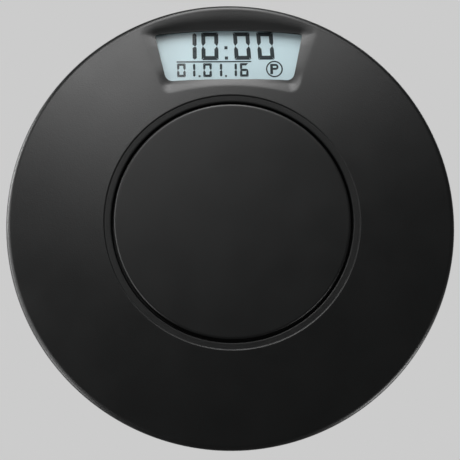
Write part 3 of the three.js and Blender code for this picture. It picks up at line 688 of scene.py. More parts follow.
@dataclass
class MountPlate:
    """Flat round plate on the windscreen, with hooks that reach in behind the tabs."""

    radius: float = 26.0
    thickness: float = 1.8
    edge_rounding: float = 0.7
    draft: float = 0.25
    rib_inset: float = 1.0
    rib_width: float = 1.0
    rib_height: float = 1.2
    hook_inner: float = 20.8
    hook_wall: float = 1.4
    hook_half_degrees: float = 15.0
    tip_inner: float = 18.2
    tip_front: float = 3.3
    tip_rear: float = 4.2

    def build(self) -> bpy.types.Object:
        """Makes the plate with its hooks."""
        rib_outer = self.radius - self.rib_inset
        rib_inner = rib_outer - self.rib_width
        rib_y = self.thickness + self.rib_height
        outline = rounded(
            [
                (0, 0),
                (self.radius, 0),
                (self.radius - self.draft, self.thickness),
                (rib_outer, self.thickness),
                (rib_outer, rib_y),
                (rib_inner, rib_y),
                (rib_inner, self.thickness),
                (0, self.thickness),
            ],
            {1: self.edge_rounding},
            steps=8,
        )
        finish = PLATE_ABS.build()
        plate = revolve("mount_plate_moulding", outline, even_angles(DISC.steps), finish)
        hooks = []
        for middle in DISC.bayonet_angles:
            span = (middle - self.hook_half_degrees, middle + self.hook_half_degrees)
            outer = self.hook_inner + self.hook_wall
            root_y = self.thickness - DISC.overrun
            for name, inner, front_y in (
                ("hook_wall", self.hook_inner, root_y),
                ("hook_tip", self.tip_inner, self.tip_front),
            ):
                loop = sector_loop(inner, outer, *span)
                hooks.append(prism(name, loop, front_y, self.tip_rear))
        return smooth(combine(plate, Boolean.JOIN, hooks))

    def place(self) -> None:
        """Builds the plate and puts it on its body."""
        settle(self.build(), Body.MOUNT, ["mount_plate"])


@dataclass
class FrontCover:
    """Domed front moulding with the well, the bayonet tabs and the drafted display recess."""

    well_radius: float = 26.5
    well_floor: float = 4.4
    ledge_y: float = 1.33
    ledge_fall: float = 0.02
    ledge_rounding: float = 0.5
    step_width: float = 0.12
    step_rounding: float = 0.06
    lip_rounding: float = 0.2
    boss_radius: float = 18.0
    boss_face: float = 2.0
    edge_radius: float = 1.6
    wall: float = 1.8
    well_wall: float = 1.4
    inner_chamfer: float = 0.6
    top_softness: float = 2.6
    bottom_softness: float = 0.22
    side_softness: float = 0.35
    corner_sink: float = 0.004
    corner_top: float = 35.0
    corner_fall: float = 4.0
    side_ease: float = 0.45
    ease_bottom: float = 31.5
    ease_top: float = 44.0
    ease_fall: float = 4.0
    tab_reach: float = 2.6
    tab_rear: float = 3.1
    tab_half_degrees: float = 20.0
    stop_degrees: float = 3.5
    locked_stop: float = 16.5
    released_stop: float = 61.5
    opening_lip: float = 0.3
    lip_thickness: float = 0.12
    lip_flare: float = 0.6
    pocket_margin: float = 0.95
    pocket_rear: float = 5.9
    backing_margin: float = 1.95
    backing_wall: float = 1.3
    boss_top: float = 8.15
    case_boss_radius: float = 3.0
    case_circle: float = 40.0
    board_boss_radius: float = 2.4
    board_circle: float = 36.0
    pilot_radius: float = 0.95
    fine_half_angle: float = 31.0
    fine_step: float = 0.33
    coarse_step: float = 2.0
    ring_step: float = 0.16
    least_run: float = 0.1
    case_angles: tuple[float, ...] = (45, 135, 225, 315)
    board_angles: tuple[float, ...] = (180, 270, 0)
    rim_steps: int = 8
    inner_rows: int = 12
    inner_turn: int = 96
    bar_turn: int = 32

    def columns(self) -> np.ndarray:
        """Gives the columns' angles, close together round the display recess."""
        low, high = 90 - self.fine_half_angle, 90 + self.fine_half_angle
        fine = np.arange(low, high, self.fine_step)
        rest = np.arange(high, low + FULL_TURN, self.coarse_step)
        return np.concatenate([fine, rest])

    def recess(self, x: np.ndarray, z: np.ndarray, y: np.ndarray) -> np.ndarray:
        """Sinks the dome into the display recess.

        Args:
            x: The points' x.
            z: The points' z.
            y: The points' depth on the plain dome.

        Returns:
            The points' depth with drafted walls that round off into the dome.
        """
        if len(x) < 2:
            return y
        places = np.stack([x, z], axis=1)
        near = (z > 0) & (np.abs(x) < z)
        result = y.copy()
        to_window, _ = distance_to_loop(places[near], DISC.window_fan.loop())
        fan = DISC.mouth_fan
        fan_top = fan.top_centre + fan.top_radius
        to_mouth, sideways = distance_to_loop(places[near], fan.loop())
        low = np.clip((self.corner_top - z[near]) / self.corner_fall, 0, 1)
        corners = self.corner_sink * np.square(x[near]) * np.square(low)
        to_end = np.minimum(self.ease_top - z[near], z[near] - self.ease_bottom)
        eased = self.side_ease * np.clip(to_end / self.ease_fall, 0, 1)
        depth = (DISC.foot_y(z[near]) + corners - y[near]) * (1 - eased * sideways)
        slope = depth / np.maximum(to_window - to_mouth, self.least_run)
        rise = np.clip((z[near] - fan.side_z) / (fan_top - fan.side_z), 0, 1)
        level = self.bottom_softness + (self.top_softness - self.bottom_softness) * rise
        soft = level + (self.side_softness - level) * sideways
        inside = -to_mouth
        blend = np.square(np.clip(inside + soft, 0, None)) / (4 * soft)
        sink = slope * np.where(inside > soft, inside, blend)
        sunk = np.clip(np.where(to_window <= 0, depth, np.minimum(sink, depth)), 0, None)
        result[near] += np.where(inside > -soft, sunk, 0)
        return result

    def face_outline(self) -> list[tuple[float, float]]:
        """Gives the front's section from the well's wall over its ledge to the rim."""
        lip_end = DISC.lip_radius + self.lip_rounding
        well = rounded(
            [
                (self.well_radius, self.well_floor),
                (self.well_radius, self.ledge_y),
                (DISC.lip_radius - self.step_width, self.ledge_y + self.ledge_fall),
                (DISC.lip_radius, DISC.lip_y),
                (lip_end, float(DISC.dome_y(lip_end))),
            ],
            {1: self.ledge_rounding, 2: self.step_rounding, 3: self.lip_rounding},
            steps=5,
        )
        lip = well[1:-1]
        edge = DISC.rim_radius - self.edge_radius
        count = round((edge - lip_end) / self.ring_step)
        radii = np.linspace(lip[-1][0], edge, count + 1)[1:]
        dome = [(float(r), float(DISC.dome_y(r))) for r in radii]
        edge_y = dome[-1][1]
        turns = quarter_turn(self.rim_steps)[1:]
        rim = [
            (
                edge + self.edge_radius * math.sin(t),
                edge_y + self.edge_radius * (1 - math.cos(t)),
            )
            for t in turns
        ]
        return lip + dome + rim

    def outer_body(self) -> bpy.types.Object:
        """Makes the outside as one solid, flat at the parting line."""
        outline = [
            (0, self.boss_face),
            (self.boss_radius, self.boss_face),
            (self.boss_radius, self.well_floor),
            (self.well_radius, self.well_floor),
            *self.face_outline(),
            (DISC.rim_radius, DISC.parting_y),
            (0, DISC.parting_y),
        ]
        return revolve(
            "front_cover_moulding", outline, self.columns(), MOULDED.abs, lift=self.recess
        )

    def inner_space(self) -> bpy.types.Object:
        """Makes the space inside the walls, less the recess's backing and the screw bosses."""
        skirt = DISC.rim_radius - self.wall
        inner_edge = skirt - self.inner_chamfer
        inner_lip = DISC.lip_radius + self.well_wall
        beyond = DISC.parting_y + DISC.overrun
        radii = np.linspace(inner_lip, inner_edge, self.inner_rows)
        outline = [
            (0, self.boss_face + self.well_wall),
            (self.boss_radius - self.well_wall, self.boss_face + self.well_wall),
            (self.boss_radius - self.well_wall, self.well_floor + self.well_wall),
            (self.well_radius + self.well_wall, self.well_floor + self.well_wall),
            *[(float(r), float(DISC.dome_y(r)) + self.wall) for r in radii],
            (skirt, float(DISC.dome_y(inner_edge)) + self.wall + self.inner_chamfer),
            (skirt, beyond),
            (0, beyond),
        ]
        space = revolve("inner_space", outline, even_angles(self.inner_turn))
        behind = flat_ring(DISC.window_fan.grown(self.backing_margin).loop(), self.pocket_rear)
        mouth_loop = DISC.mouth_fan.grown(self.backing_wall).loop()
        mouth = flat_ring(mouth_loop, 0)
        mouth[:, 1] = DISC.dome_y(np.hypot(mouth[:, 0], mouth[:, 2]))
        backing = loft("recess_backing", [flat_ring(mouth_loop, 0), mouth, behind])
        bosses = [
            *self.bars(self.case_boss_radius, self.case_circle, self.case_angles, 0),
            *self.bars(self.board_boss_radius, self.board_circle, self.board_angles, 0),
        ]
        return combine(space, Boolean.CUT, [backing, *bosses])

    def bars(
        self, radius: float, circle: float, angles: Iterable[float], front_y: float
    ) -> list[bpy.types.Object]:
        """Makes round bars along Y on a circle, up to the board.

        Args:
            radius: The bars' radius.
            circle: The radius of the circle that they stand on.
            angles: Where they stand.
            front_y: Where they start.

        Returns:
            The bars.
        """
        outline = [(0, front_y), (radius, front_y), (radius, self.boss_top), (0, self.boss_top)]
        return [
            revolve("bar", outline, even_angles(self.bar_turn), centre=polar(circle, angle))
            for angle in angles
        ]

    def tabs(self) -> list[bpy.types.Object]:
        """Makes the bayonet tabs and the ribs that stop the hooks."""
        root = self.boss_radius - DISC.overrun
        outer = self.boss_radius + self.tab_reach
        deep = self.well_floor + DISC.overrun
        made = []
        for middle in DISC.bayonet_angles:
            tab = sector_loop(
                root, outer, middle - self.tab_half_degrees, middle + self.tab_half_degrees
            )
            locked = middle - self.locked_stop
            released = middle + self.released_stop
            locked_rib = sector_loop(root, outer, locked - self.stop_degrees, locked)
            released_rib = sector_loop(root, outer, released, released + self.stop_degrees)
            made += [
                prism("tab", tab, self.boss_face, self.tab_rear),
                prism("locked_stop", locked_rib, self.boss_face, deep),
                prism("released_stop", released_rib, self.tab_rear, deep),
            ]
        return made

    def opening(self) -> bpy.types.Object:
        """Makes the window opening, which spreads behind its thin lip so no wall shows."""
        loop = DISC.window_fan.loop()
        rings = []
        for ahead in (-DISC.overrun, self.lip_thickness):
            ring = flat_ring(loop, 0)
            ring[:, 1] = DISC.foot_y(ring[:, 2]) + ahead
            rings.append(ring)
        wide = DISC.window_fan.grown(self.lip_flare).loop()
        pocket_y = DISC.window_y + self.opening_lip
        rings += [flat_ring(wide, pocket_y), flat_ring(wide, self.pocket_rear + DISC.overrun)]
        return loft("opening", rings)

    def build(self) -> bpy.types.Object:
        """Makes the whole cover."""
        cover = self.outer_body()
        pocket = DISC.window_fan.grown(self.pocket_margin).loop()
        behind = self.pocket_rear + DISC.overrun
        pilot_front = float(DISC.dome_y(self.case_circle)) + self.wall
        cutters = [
            self.inner_space(),
            self.opening(),
            prism("pocket", pocket, DISC.window_y + self.opening_lip, behind),
            *self.bars(self.pilot_radius, self.case_circle, self.case_angles, pilot_front),
            *self.bars(self.pilot_radius, self.board_circle, self.board_angles, pilot_front),
        ]
        combine(cover, Boolean.CUT, cutters)
        combine(cover, Boolean.JOIN, self.tabs())
        return smooth(cover)

    def place(self) -> None:
        """Builds the cover and puts it on its body."""
        settle(self.build(), Body.HOUSING, ["front_cover"])


@dataclass(frozen=True)
class Segment:
    """One dark bar of the display: its middle, its run and how its ends are cut."""

    x: float
    z: float
    along: tuple[float, float]
    length: float
    width: float
    tip: float = 0.0
    start_side: float = 0.0
    end_side: float = 0.0


@dataclass(frozen=True)
class Digit:
    """A seven-segment figure, given by the corner at its lower left."""

    figure: int
    x: float
    z: float
    width: float
    height: float
    stroke: float
    lean: float = 0.0
    split: float = 0.0

    LIT = {0: "abcdef", 1: "bc", 6: "acdefg"}
    # Shares of the stroke: the gap between two bars, how far their ends taper, and how far the
    # inner ends lean to the side
    GAP = 0.12
    TIP = 0.8
    TIP_OF_ONE = 0.4
    NOTCH = 0.3

    def segments(self) -> list[Segment]:
        """Gives the figure's lit segments."""
        s = self.stroke
        gap = s * self.GAP
        tip = s * (self.TIP_OF_ONE if self.figure == 1 else self.TIP)
        left, right = self.x + s / 2, self.x + self.width - s / 2
        low, high = self.z + s / 2, self.z + self.height - s / 2
        middle = self.z + self.height / 2
        across = self.width - 2 * gap
        upright = self.height / 2 - gap - self.split / 2

        def lay(x: float, z: float, across_run: bool, **cut: float) -> Segment:
            shift = self.lean * (z - self.z)
            along = (1.0, 0.0) if across_run else (self.lean, 1.0)
            length = across if across_run else upright
            return Segment(x + shift, z, along, length, s, tip=tip, **cut)

        upper = (middle + self.split / 2 + self.z + self.height - gap) / 2
        lower = (middle - self.split / 2 + self.z + gap) / 2
        centre = self.x + self.width / 2
        outer = 0.0 if self.figure == 1 else 1.0
        bars = {
            "a": lay(centre, high, True, start_side=1.0, end_side=1.0),
            "d": lay(centre, low, True, start_side=-1.0, end_side=-1.0),
            "g": lay(centre, middle, True),
            "f": lay(left, upper, False, start_side=self.NOTCH, end_side=1.0),
            "e": lay(left, lower, False, start_side=1.0, end_side=self.NOTCH),
            "b": lay(right, upper, False, start_side=-self.NOTCH, end_side=-outer),
            "c": lay(right, lower, False, start_side=-outer, end_side=-self.NOTCH),
        }
        return [bars[name] for name in self.LIT[self.figure]]


@dataclass
class DisplayWindow:
    """Clear window, foam gasket and segment display behind the recess."""

    film_front: float = 5.84
    film_rear: float = 6.28
    film_margin: float = 0.25
    ink: float = 0.02
    time_low: float = 37.5
    time_height: float = 6.42
    time_stroke: float = 0.92
    date_low: float = 33.56
    date_height: float = 3.16
    date_stroke: float = 0.54
    date_width: float = 1.95
    lean: float = 0.055
    rule_middle: tuple[float, float] = (-3.4, 37.08)
    rule_length: float = 17.0
    rule_width: float = 0.3
    tip_limit: float = 0.75
    weld_m: float = 1e-6
    mark_centre: tuple[float, float] = (10.34, 35.29)
    mark_radius: float = 1.92
    mark_line: float = 0.31
    mark_turn: int = 64
    letter_stroke: float = 0.62
    letter_half: float = 1.2
    letter_left: float = 0.95
    bowl_drop: float = 0.2
    bowl_bend: float = 0.3
    bowl_squash: float = 0.92
    bowl_steps: int = 16
    counter_share: float = 0.8

    def segments(self) -> list[Segment]:
        """Gives every dark bar of the time and date."""
        # Figure, left edge, width and lean of each digit of the time
        time_figures = (
            (1, -9.9, 2.6, 0.0),
            (0, -6.2, 3.85, 0.0),
            (0, 1.35, 3.75, -self.lean),
            (0, 6.7, 3.75, -self.lean),
        )
        time = [
            Digit(figure, x, self.time_low, width, self.time_height, self.time_stroke, lean)
            for figure, x, width, lean in time_figures
        ]
        date_x = ((0, -11.82), (1, -9.6), (0, -5.88), (1, -3.5), (1, -0.15), (6, 2.48))
        date = [
            Digit(figure, x, self.date_low, self.date_width, self.date_height, self.date_stroke)
            for figure, x in date_x
        ]
        dots = [
            (-0.62, 40.34, 0.72),
            (-0.55, 37.94, 0.72),
            (-6.72, 33.74, 0.44),
            (-0.72, 33.74, 0.44),
        ]
        marks = [Segment(x, z, (1.0, 0.0), size, size) for x, z, size in dots]
        rule = Segment(*self.rule_middle, (1.0, 0.0), self.rule_length, self.rule_width)
        figures = [segment for digit in time + date for segment in digit.segments()]
        return figures + marks + [rule]

    def segment_tree(self) -> bpy.types.NodeTree:
        """Builds the tree that turns points with a length, width and cut into closed bars."""
        tree = bpy.data.node_groups.new("display_segments", "GeometryNodeTree")
        for name, kind in (
            ("Points", "NodeSocketGeometry"),
            ("Ink thickness", "NodeSocketFloat"),
            ("Finish", "NodeSocketMaterial"),
        ):
            tree.interface.new_socket(name, in_out="INPUT", socket_type=kind)
        tree.interface.new_socket("Bars", in_out="OUTPUT", socket_type="NodeSocketGeometry")
        given = tree.nodes.new("NodeGroupInput").outputs

        def field(name: str, kind: str = "FLOAT") -> bpy.types.NodeSocket:
            return add_node(
                tree, "GeometryNodeInputNamedAttribute", {"Name": name}, data_type=kind
            ).outputs["Attribute"]

        def maths(operation: str, *values: object) -> bpy.types.NodeSocket:
            inputs = dict(enumerate(values))
            return add_node(tree, "ShaderNodeMath", inputs, operation=operation).outputs[0]

        ring = add_node(
            tree, "GeometryNodeMeshCircle", {"Vertices": 6, "Radius": 1.0}, fill_type="NGON"
        ).outputs["Mesh"]
        own_place = add_node(tree, "GeometryNodeInputPosition").outputs["Position"]
        kept = add_node(
            tree,
            "GeometryNodeStoreNamedAttribute",
            {"Geometry": ring, "Name": "place_in_bar", "Value": own_place},
            data_type="FLOAT_VECTOR",
            domain="POINT",
        ).outputs["Geometry"]
        copies = add_node(
            tree, "GeometryNodeInstanceOnPoints", {"Points": given["Points"], "Instance": kept}
        ).outputs["Instances"]
        real = add_node(tree, "GeometryNodeRealizeInstances", {"Geometry": copies}).outputs[0]
        local = add_node(
            tree, "ShaderNodeSeparateXYZ", {"Vector": field("place_in_bar", "FLOAT_VECTOR")}
        ).outputs
        run, side = local["X"], local["Y"]
        end = maths("SIGN", run)
        is_tip = maths("GREATER_THAN", maths("ABSOLUTE", run), self.tip_limit)
        is_end = maths("GREATER_THAN", run, 0.0)
        half_length = maths("MULTIPLY", field("bar_length"), 0.5)
        pulled = maths("MULTIPLY", field("bar_tip"), maths("SUBTRACT", 1.0, is_tip))
        lengthwise = maths("MULTIPLY", end, maths("SUBTRACT", half_length, pulled))
        start_part = maths("MULTIPLY", field("start_side"), maths("SUBTRACT", 1.0, is_end))
        end_part = maths("MULTIPLY", field("end_side"), is_end)
        tip_side = maths("MULTIPLY", is_tip, maths("ADD", start_part, end_part))
        flank = maths("MULTIPLY", maths("SIGN", side), maths("SUBTRACT", 1.0, is_tip))
        half_width = maths("MULTIPLY", field("bar_width"), 0.5)
        sidewise = maths("MULTIPLY", half_width, maths("ADD", tip_side, flank))
        along = field("bar_along", "FLOAT_VECTOR")
        across = field("bar_across", "FLOAT_VECTOR")
        vectors = [
            add_node(
                tree, "ShaderNodeVectorMath", {0: direction, "Scale": amount}, operation="SCALE"
            ).outputs[0]
            for direction, amount in ((along, lengthwise), (across, sidewise))
        ]
        moved = add_node(
            tree, "ShaderNodeVectorMath", {0: vectors[0], 1: vectors[1]}, operation="ADD"
        ).outputs[0]
        middle = field("bar_middle", "FLOAT_VECTOR")
        target = add_node(
            tree, "ShaderNodeVectorMath", {0: middle, 1: moved}, operation="ADD"
        ).outputs[0]
        laid = add_node(
            tree, "GeometryNodeSetPosition", {"Geometry": real, "Position": target}
        ).outputs["Geometry"]
        raised = add_node(
            tree,
            "GeometryNodeExtrudeMesh",
            {"Mesh": laid, "Offset": (0.0, -1.0, 0.0), "Offset Scale": given["Ink thickness"]},
            mode="FACES",
        ).outputs["Mesh"]
        turned = add_node(tree, "GeometryNodeFlipFaces", {"Mesh": laid}).outputs["Mesh"]
        both = tree.nodes.new("GeometryNodeJoinGeometry")
        for part in (turned, raised):
            tree.links.new(part, both.inputs[0])
        closed = add_node(
            tree,
            "GeometryNodeMergeByDistance",
            {"Geometry": both.outputs[0], "Distance": self.weld_m},
        ).outputs["Geometry"]
        whole = add_node(tree, "GeometryNodeRealizeInstances", {"Geometry": closed}).outputs[0]
        dressed = add_node(
            tree, "GeometryNodeSetMaterial", {"Geometry": whole, "Material": given["Finish"]}
        ).outputs["Geometry"]
        add_node(tree, "NodeGroupOutput", {"Bars": dressed})
        return tree

    def segment_points(self, bars: Sequence[Segment]) -> bpy.types.Object:
        """Makes the points that the tree reads, one for each bar."""
        y = self.film_front
        middles = [(bar.x, y, bar.z) for bar in bars]
        seeds = new_piece("display_segments", np.array(middles), [], None)

        def store(name: str, kind: str, key: str, values: Sequence[float]) -> None:
            layer = seeds.data.attributes.new(name, kind, "POINT")
            layer.data.foreach_set(key, np.asarray(values, dtype=np.float32).ravel())

        store("bar_middle", "FLOAT_VECTOR", "vector", np.array(middles) * MM)
        alongs = [(a, 0.0, b) for a, b in (bar.along for bar in bars)]
        acrosses = [(0.0, 0.0, 1.0) if bar.along[0] == 1.0 else (-1.0, 0.0, 0.0) for bar in bars]
        store("bar_along", "FLOAT_VECTOR", "vector", alongs)
        store("bar_across", "FLOAT_VECTOR", "vector", acrosses)
        store("bar_length", "FLOAT", "value", [bar.length * MM for bar in bars])
        store("bar_width", "FLOAT", "value", [bar.width * MM for bar in bars])
        store("bar_tip", "FLOAT", "value", [bar.tip * MM for bar in bars])
        store("start_side", "FLOAT", "value", [bar.start_side for bar in bars])
        store("end_side", "FLOAT", "value", [bar.end_side for bar in bars])
        return seeds

    def build_segments(self) -> bpy.types.Object:
        """Makes all bars of the time and date as one plain mesh."""
        ink = DYED_CRYSTAL.build()
        seeds = self.segment_points(self.segments())
        tree = self.segment_tree()
        values = {"Ink thickness": self.ink * MM, "Finish": ink}
        return grown_by_nodes(seeds, tree, values)

    def build_mark(self) -> list[bpy.types.Object]:
        """Makes the ring and the letter inside it, the general sign for parking."""
        x, z = self.mark_centre
        turn = np.radians(even_angles(self.mark_turn))
        circle = np.stack([np.cos(turn), np.sin(turn)], axis=1)
        centre = np.array(self.mark_centre)
        front = self.film_front - self.ink
        ink = DYED_CRYSTAL.build()
        ring = prism("mark_ring", centre + self.mark_radius * circle, front, self.film_front, ink)
        hole = prism(
            "mark_hole",
            centre + (self.mark_radius - self.mark_line) * circle,
            front - self.ink,
            self.film_front + self.ink,
        )
        combine(ring, Boolean.CUT, [hole])
        stroke = self.letter_stroke
        low, high = z - self.letter_half, z + self.letter_half
        bowl_low = z - self.bowl_drop
        left = x - self.letter_left
        bowl = (high + bowl_low) / 2
        outer_radius = (high - bowl_low) / 2
        bend = x + self.bowl_bend
        half_turn = np.radians(np.linspace(-90, 90, self.bowl_steps + 1))
        arc = np.stack([np.cos(half_turn) * self.bowl_squash, np.sin(half_turn)], axis=1)
        outer = np.concatenate(
            [
                [(left, low), (left + stroke, low), (left + stroke, bowl_low)],
                np.array((bend, bowl)) + outer_radius * arc,
                [(left, high)],
            ]
        )
        inner_radius = outer_radius - stroke * self.counter_share
        inner = np.concatenate(
            [
                [(left + stroke, bowl - inner_radius)],
                np.array((bend, bowl)) + inner_radius * arc,
                [(left + stroke, bowl + inner_radius)],
            ]
        )
        letter = prism("mark_letter", outer, front, self.film_front, ink)
        counter = prism("mark_counter", inner, front - self.ink, self.film_front + self.ink)
        combine(letter, Boolean.CUT, [counter])
        return [ring, letter]

    def place(self) -> None:
        """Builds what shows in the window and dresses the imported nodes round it."""
        settle(self.build_segments(), Body.HOUSING)
        for piece in self.build_mark():
            settle(piece, Body.HOUSING)
        paper = DISPLAY_FILM.build()
        loop = DISC.window_fan.grown(self.film_margin).loop()
        film = prism("display_front_film", loop, self.film_front, self.film_rear, paper)
        settle(film, Body.HOUSING, ["display_polariser"])
        dress(["window_lens"], CAST_ACRYLIC.build())
        dress(["display_glass"], DISPLAY_GLASS.build())
        dress(["display_reflector"], paper)
        dress(["window_gasket"], CELL_FOAM.build())


def grown_by_nodes(
    seed: bpy.types.Object, tree: bpy.types.NodeTree, values: Mapping[str, object]
) -> bpy.types.Object:
    """Runs a geometry tree on an object and keeps its result as a plain mesh.

    Args:
        seed: The object that the tree starts from.
        tree: The tree.
        values: The tree's inputs, by name.

    Returns:
        The object, with the result as its mesh and no modifier.
    """
    step = seed.modifiers.new(tree.name, "NODES")
    step.node_group = tree
    for item in tree.interface.items_tree:
        if item.in_out == "INPUT" and item.name in values:
            step[item.identifier] = values[item.name]
    bpy.context.view_layer.update()
    graph = bpy.context.evaluated_depsgraph_get()
    result = bpy.data.meshes.new_from_object(seed.evaluated_get(graph))
    seed.modifiers.clear()
    old, seed.data = seed.data, result
    bpy.data.meshes.remove(old)
    for layer in [a for a in result.attributes if not (a.is_internal or a.is_required)]:
        if layer.name.startswith(("bar_", "place_", "start_", "end_")):
            result.attributes.remove(layer)
    return seed


def dress(nodes: Iterable[str], material: bpy.types.Material) -> None:
    """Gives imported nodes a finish.

    Args:
        nodes: The nodes' names.
        material: The finish.
    """
    for name in nodes:
        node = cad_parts[name]
        if not node.material_slots:
            node.data.materials.append(material)
        for place in node.material_slots:
            place.material = material
        LOG.info("%s: %s", name, material.name)


@dataclass
class RearCover:
    """Rear moulding with the coin cell bay, finger dishes, screw posts and tongue."""

    edge_radius: float = 2.5
    wall: float = 1.6
    side_wall: float = 1.8
    inner_chamfer: float = 0.6
    parting_gap: float = 0.1
    tongue_wall: float = 1.4
    tongue_length: float = 1.4
    tongue_root: float = 1.5
    front_wall: float = 1.8
    recess_radius: float = 17.1
    recess_floor: float = 14.4
    seal_groove: float = 16.2
    seal_groove_depth: float = 0.6
    neck_bore: float = 14.4
    neck_floor: float = 12.3
    bay_radius: float = 12.75
    bay_front: float = 9.05
    bay_ring: float = 18.8
    lug_groove: float = 15.9
    lug_groove_rear: float = 13.6
    lug_half_degrees: float = 14.5
    cover_twist: float = 40.0
    edge_break: float = 0.18
    screw_circle: float = 40.0
    screw_angles: tuple[float, ...] = (45.0, 135.0, 225.0, 315.0)
    post_radius: float = 3.6
    hole_radius: float = 1.3
    counterbore_radius: float = 2.6
    counterbore_floor: float = 13.65
    button_x: float = 11.0
    button_z: float = 28.0
    button_hole: float = 4.2
    dish_radius: float = 7.0
    dish_depth: float = 0.5
    edge_steps: int = 12
    dish_steps: int = 16
    dish_turn: int = 96
    post_turn: int = 48
    button_turn: int = 64
    run_steps: int = 32

    def shell(self) -> bpy.types.Object:
        """Makes the revolved shell."""
        rear_inner = DISC.rear_y - self.wall
        side = DISC.rim_radius - self.side_wall
        front = DISC.parting_y + self.parting_gap
        tongue_outer = DISC.rim_radius - self.front_wall - DISC.run_gap
        tongue_inner = tongue_outer - self.tongue_wall
        tongue_rear = front + self.tongue_root
        tongue_front = DISC.parting_y - self.tongue_length
        turns = quarter_turn(self.edge_steps)
        edge = [
            (
                DISC.rim_radius - self.edge_radius * (1 - math.cos(t)),
                DISC.rear_y - self.edge_radius * (1 - math.sin(t)),
            )
            for t in turns
        ]
        outline = [
            (tongue_outer, front),
            (DISC.rim_radius - self.edge_break, front),
            (DISC.rim_radius, front + self.edge_break),
            *edge,
            (self.recess_radius + self.edge_break, DISC.rear_y),
            (self.recess_radius, DISC.rear_y - self.edge_break),
            (self.recess_radius, self.recess_floor - self.seal_groove_depth),
            (self.seal_groove, self.recess_floor - self.seal_groove_depth),
            (self.seal_groove, self.recess_floor),
            (self.neck_bore, self.recess_floor),
            (self.neck_bore, self.neck_floor),
            (self.bay_radius, self.neck_floor),
            (self.bay_radius, self.bay_front),
            (self.bay_ring, self.bay_front),
            (self.bay_ring, rear_inner),
            (side - self.inner_chamfer, rear_inner),
            (side, rear_inner - self.inner_chamfer),
            (side, tongue_rear),
            (tongue_inner, tongue_rear),
            (tongue_inner, tongue_front),
            (tongue_outer, tongue_front),
        ]
        return revolve("rear_cover_moulding", outline, even_angles(DISC.steps), TEXTURED.abs)

    def hole(
        self, radius: float, floor: float, centre: tuple[float, float], steps: int = 48
    ) -> bpy.types.Object:
        """Makes a cutter for a round hole from the rear face, with its edge broken."""
        top = DISC.rear_y
        wide = radius + self.edge_break + DISC.overrun
        outline = [
            (0, floor),
            (radius, floor),
            (radius, top - self.edge_break),
            (wide, top + DISC.overrun),
            (0, top + DISC.overrun),
        ]
        return revolve("hole", outline, even_angles(steps), centre=centre)

    def dish(self, centre: tuple[float, float]) -> bpy.types.Object:
        """Makes a cutter for a finger dish: a shallow cap of a sphere."""
        sphere = (self.dish_radius**2 + self.dish_depth**2) / (2 * self.dish_depth)
        reach = math.asin(self.dish_radius / sphere)
        top = DISC.rear_y
        turns = [reach * i / self.dish_steps for i in range(self.dish_steps + 1)]
        outline = [
            (sphere * math.sin(t), top - self.dish_depth + sphere * (1 - math.cos(t)))
            for t in turns
        ]
        outline += [(self.dish_radius, top + DISC.overrun), (0, top + DISC.overrun)]
        return revolve("dish", outline, even_angles(self.dish_turn), centre=centre)

    def build(self) -> bpy.types.Object:
        """Makes the whole cover."""
        places = [polar(self.screw_circle, angle) for angle in self.screw_angles]
        rear_inner = DISC.rear_y - self.wall + DISC.overrun
        post = [
            (0, self.bay_front),
            (self.post_radius, self.bay_front),
            (self.post_radius, rear_inner),
            (0, rear_inner),
        ]
        turn = even_angles(self.post_turn)
        posts = [revolve("post", post, turn, centre=place) for place in places]
        cover = combine(self.shell(), Boolean.JOIN, posts)
        cutters = []
        for place in places:
            cutters.append(self.hole(self.hole_radius, self.bay_front - DISC.overrun, place))
            cutters.append(self.hole(self.counterbore_radius, self.counterbore_floor, place))
        for x in (-self.button_x, self.button_x):
            cutters.append(self.dish((x, self.button_z)))
            through = rear_inner - DISC.overrun * 2
            cutters.append(
                prism(
                    "button_hole",
                    np.array([polar(self.button_hole, a) for a in even_angles(self.button_turn)])
                    + (x, self.button_z),
                    through,
                    DISC.rear_y + DISC.overrun,
                )
            )
        inner = self.neck_bore - DISC.overrun
        for middle in DISC.bayonet_angles:
            released = middle - self.cover_twist
            run = sector_loop(
                inner,
                self.lug_groove,
                released - self.lug_half_degrees,
                middle + self.lug_half_degrees,
                self.run_steps,
            )
            entry = sector_loop(
                inner,
                self.lug_groove,
                released - self.lug_half_degrees,
                released + self.lug_half_degrees,
            )
            cutters.append(prism("lug_run", run, self.neck_floor, self.lug_groove_rear))
            cutters.append(
                prism("lug_entry", entry, self.neck_floor, self.recess_floor + DISC.overrun)
            )
        return smooth(combine(cover, Boolean.CUT, cutters))

    def place(self) -> None:
        """Builds the cover and puts it on its body."""
        settle(self.build(), Body.HOUSING, ["rear_cover"])


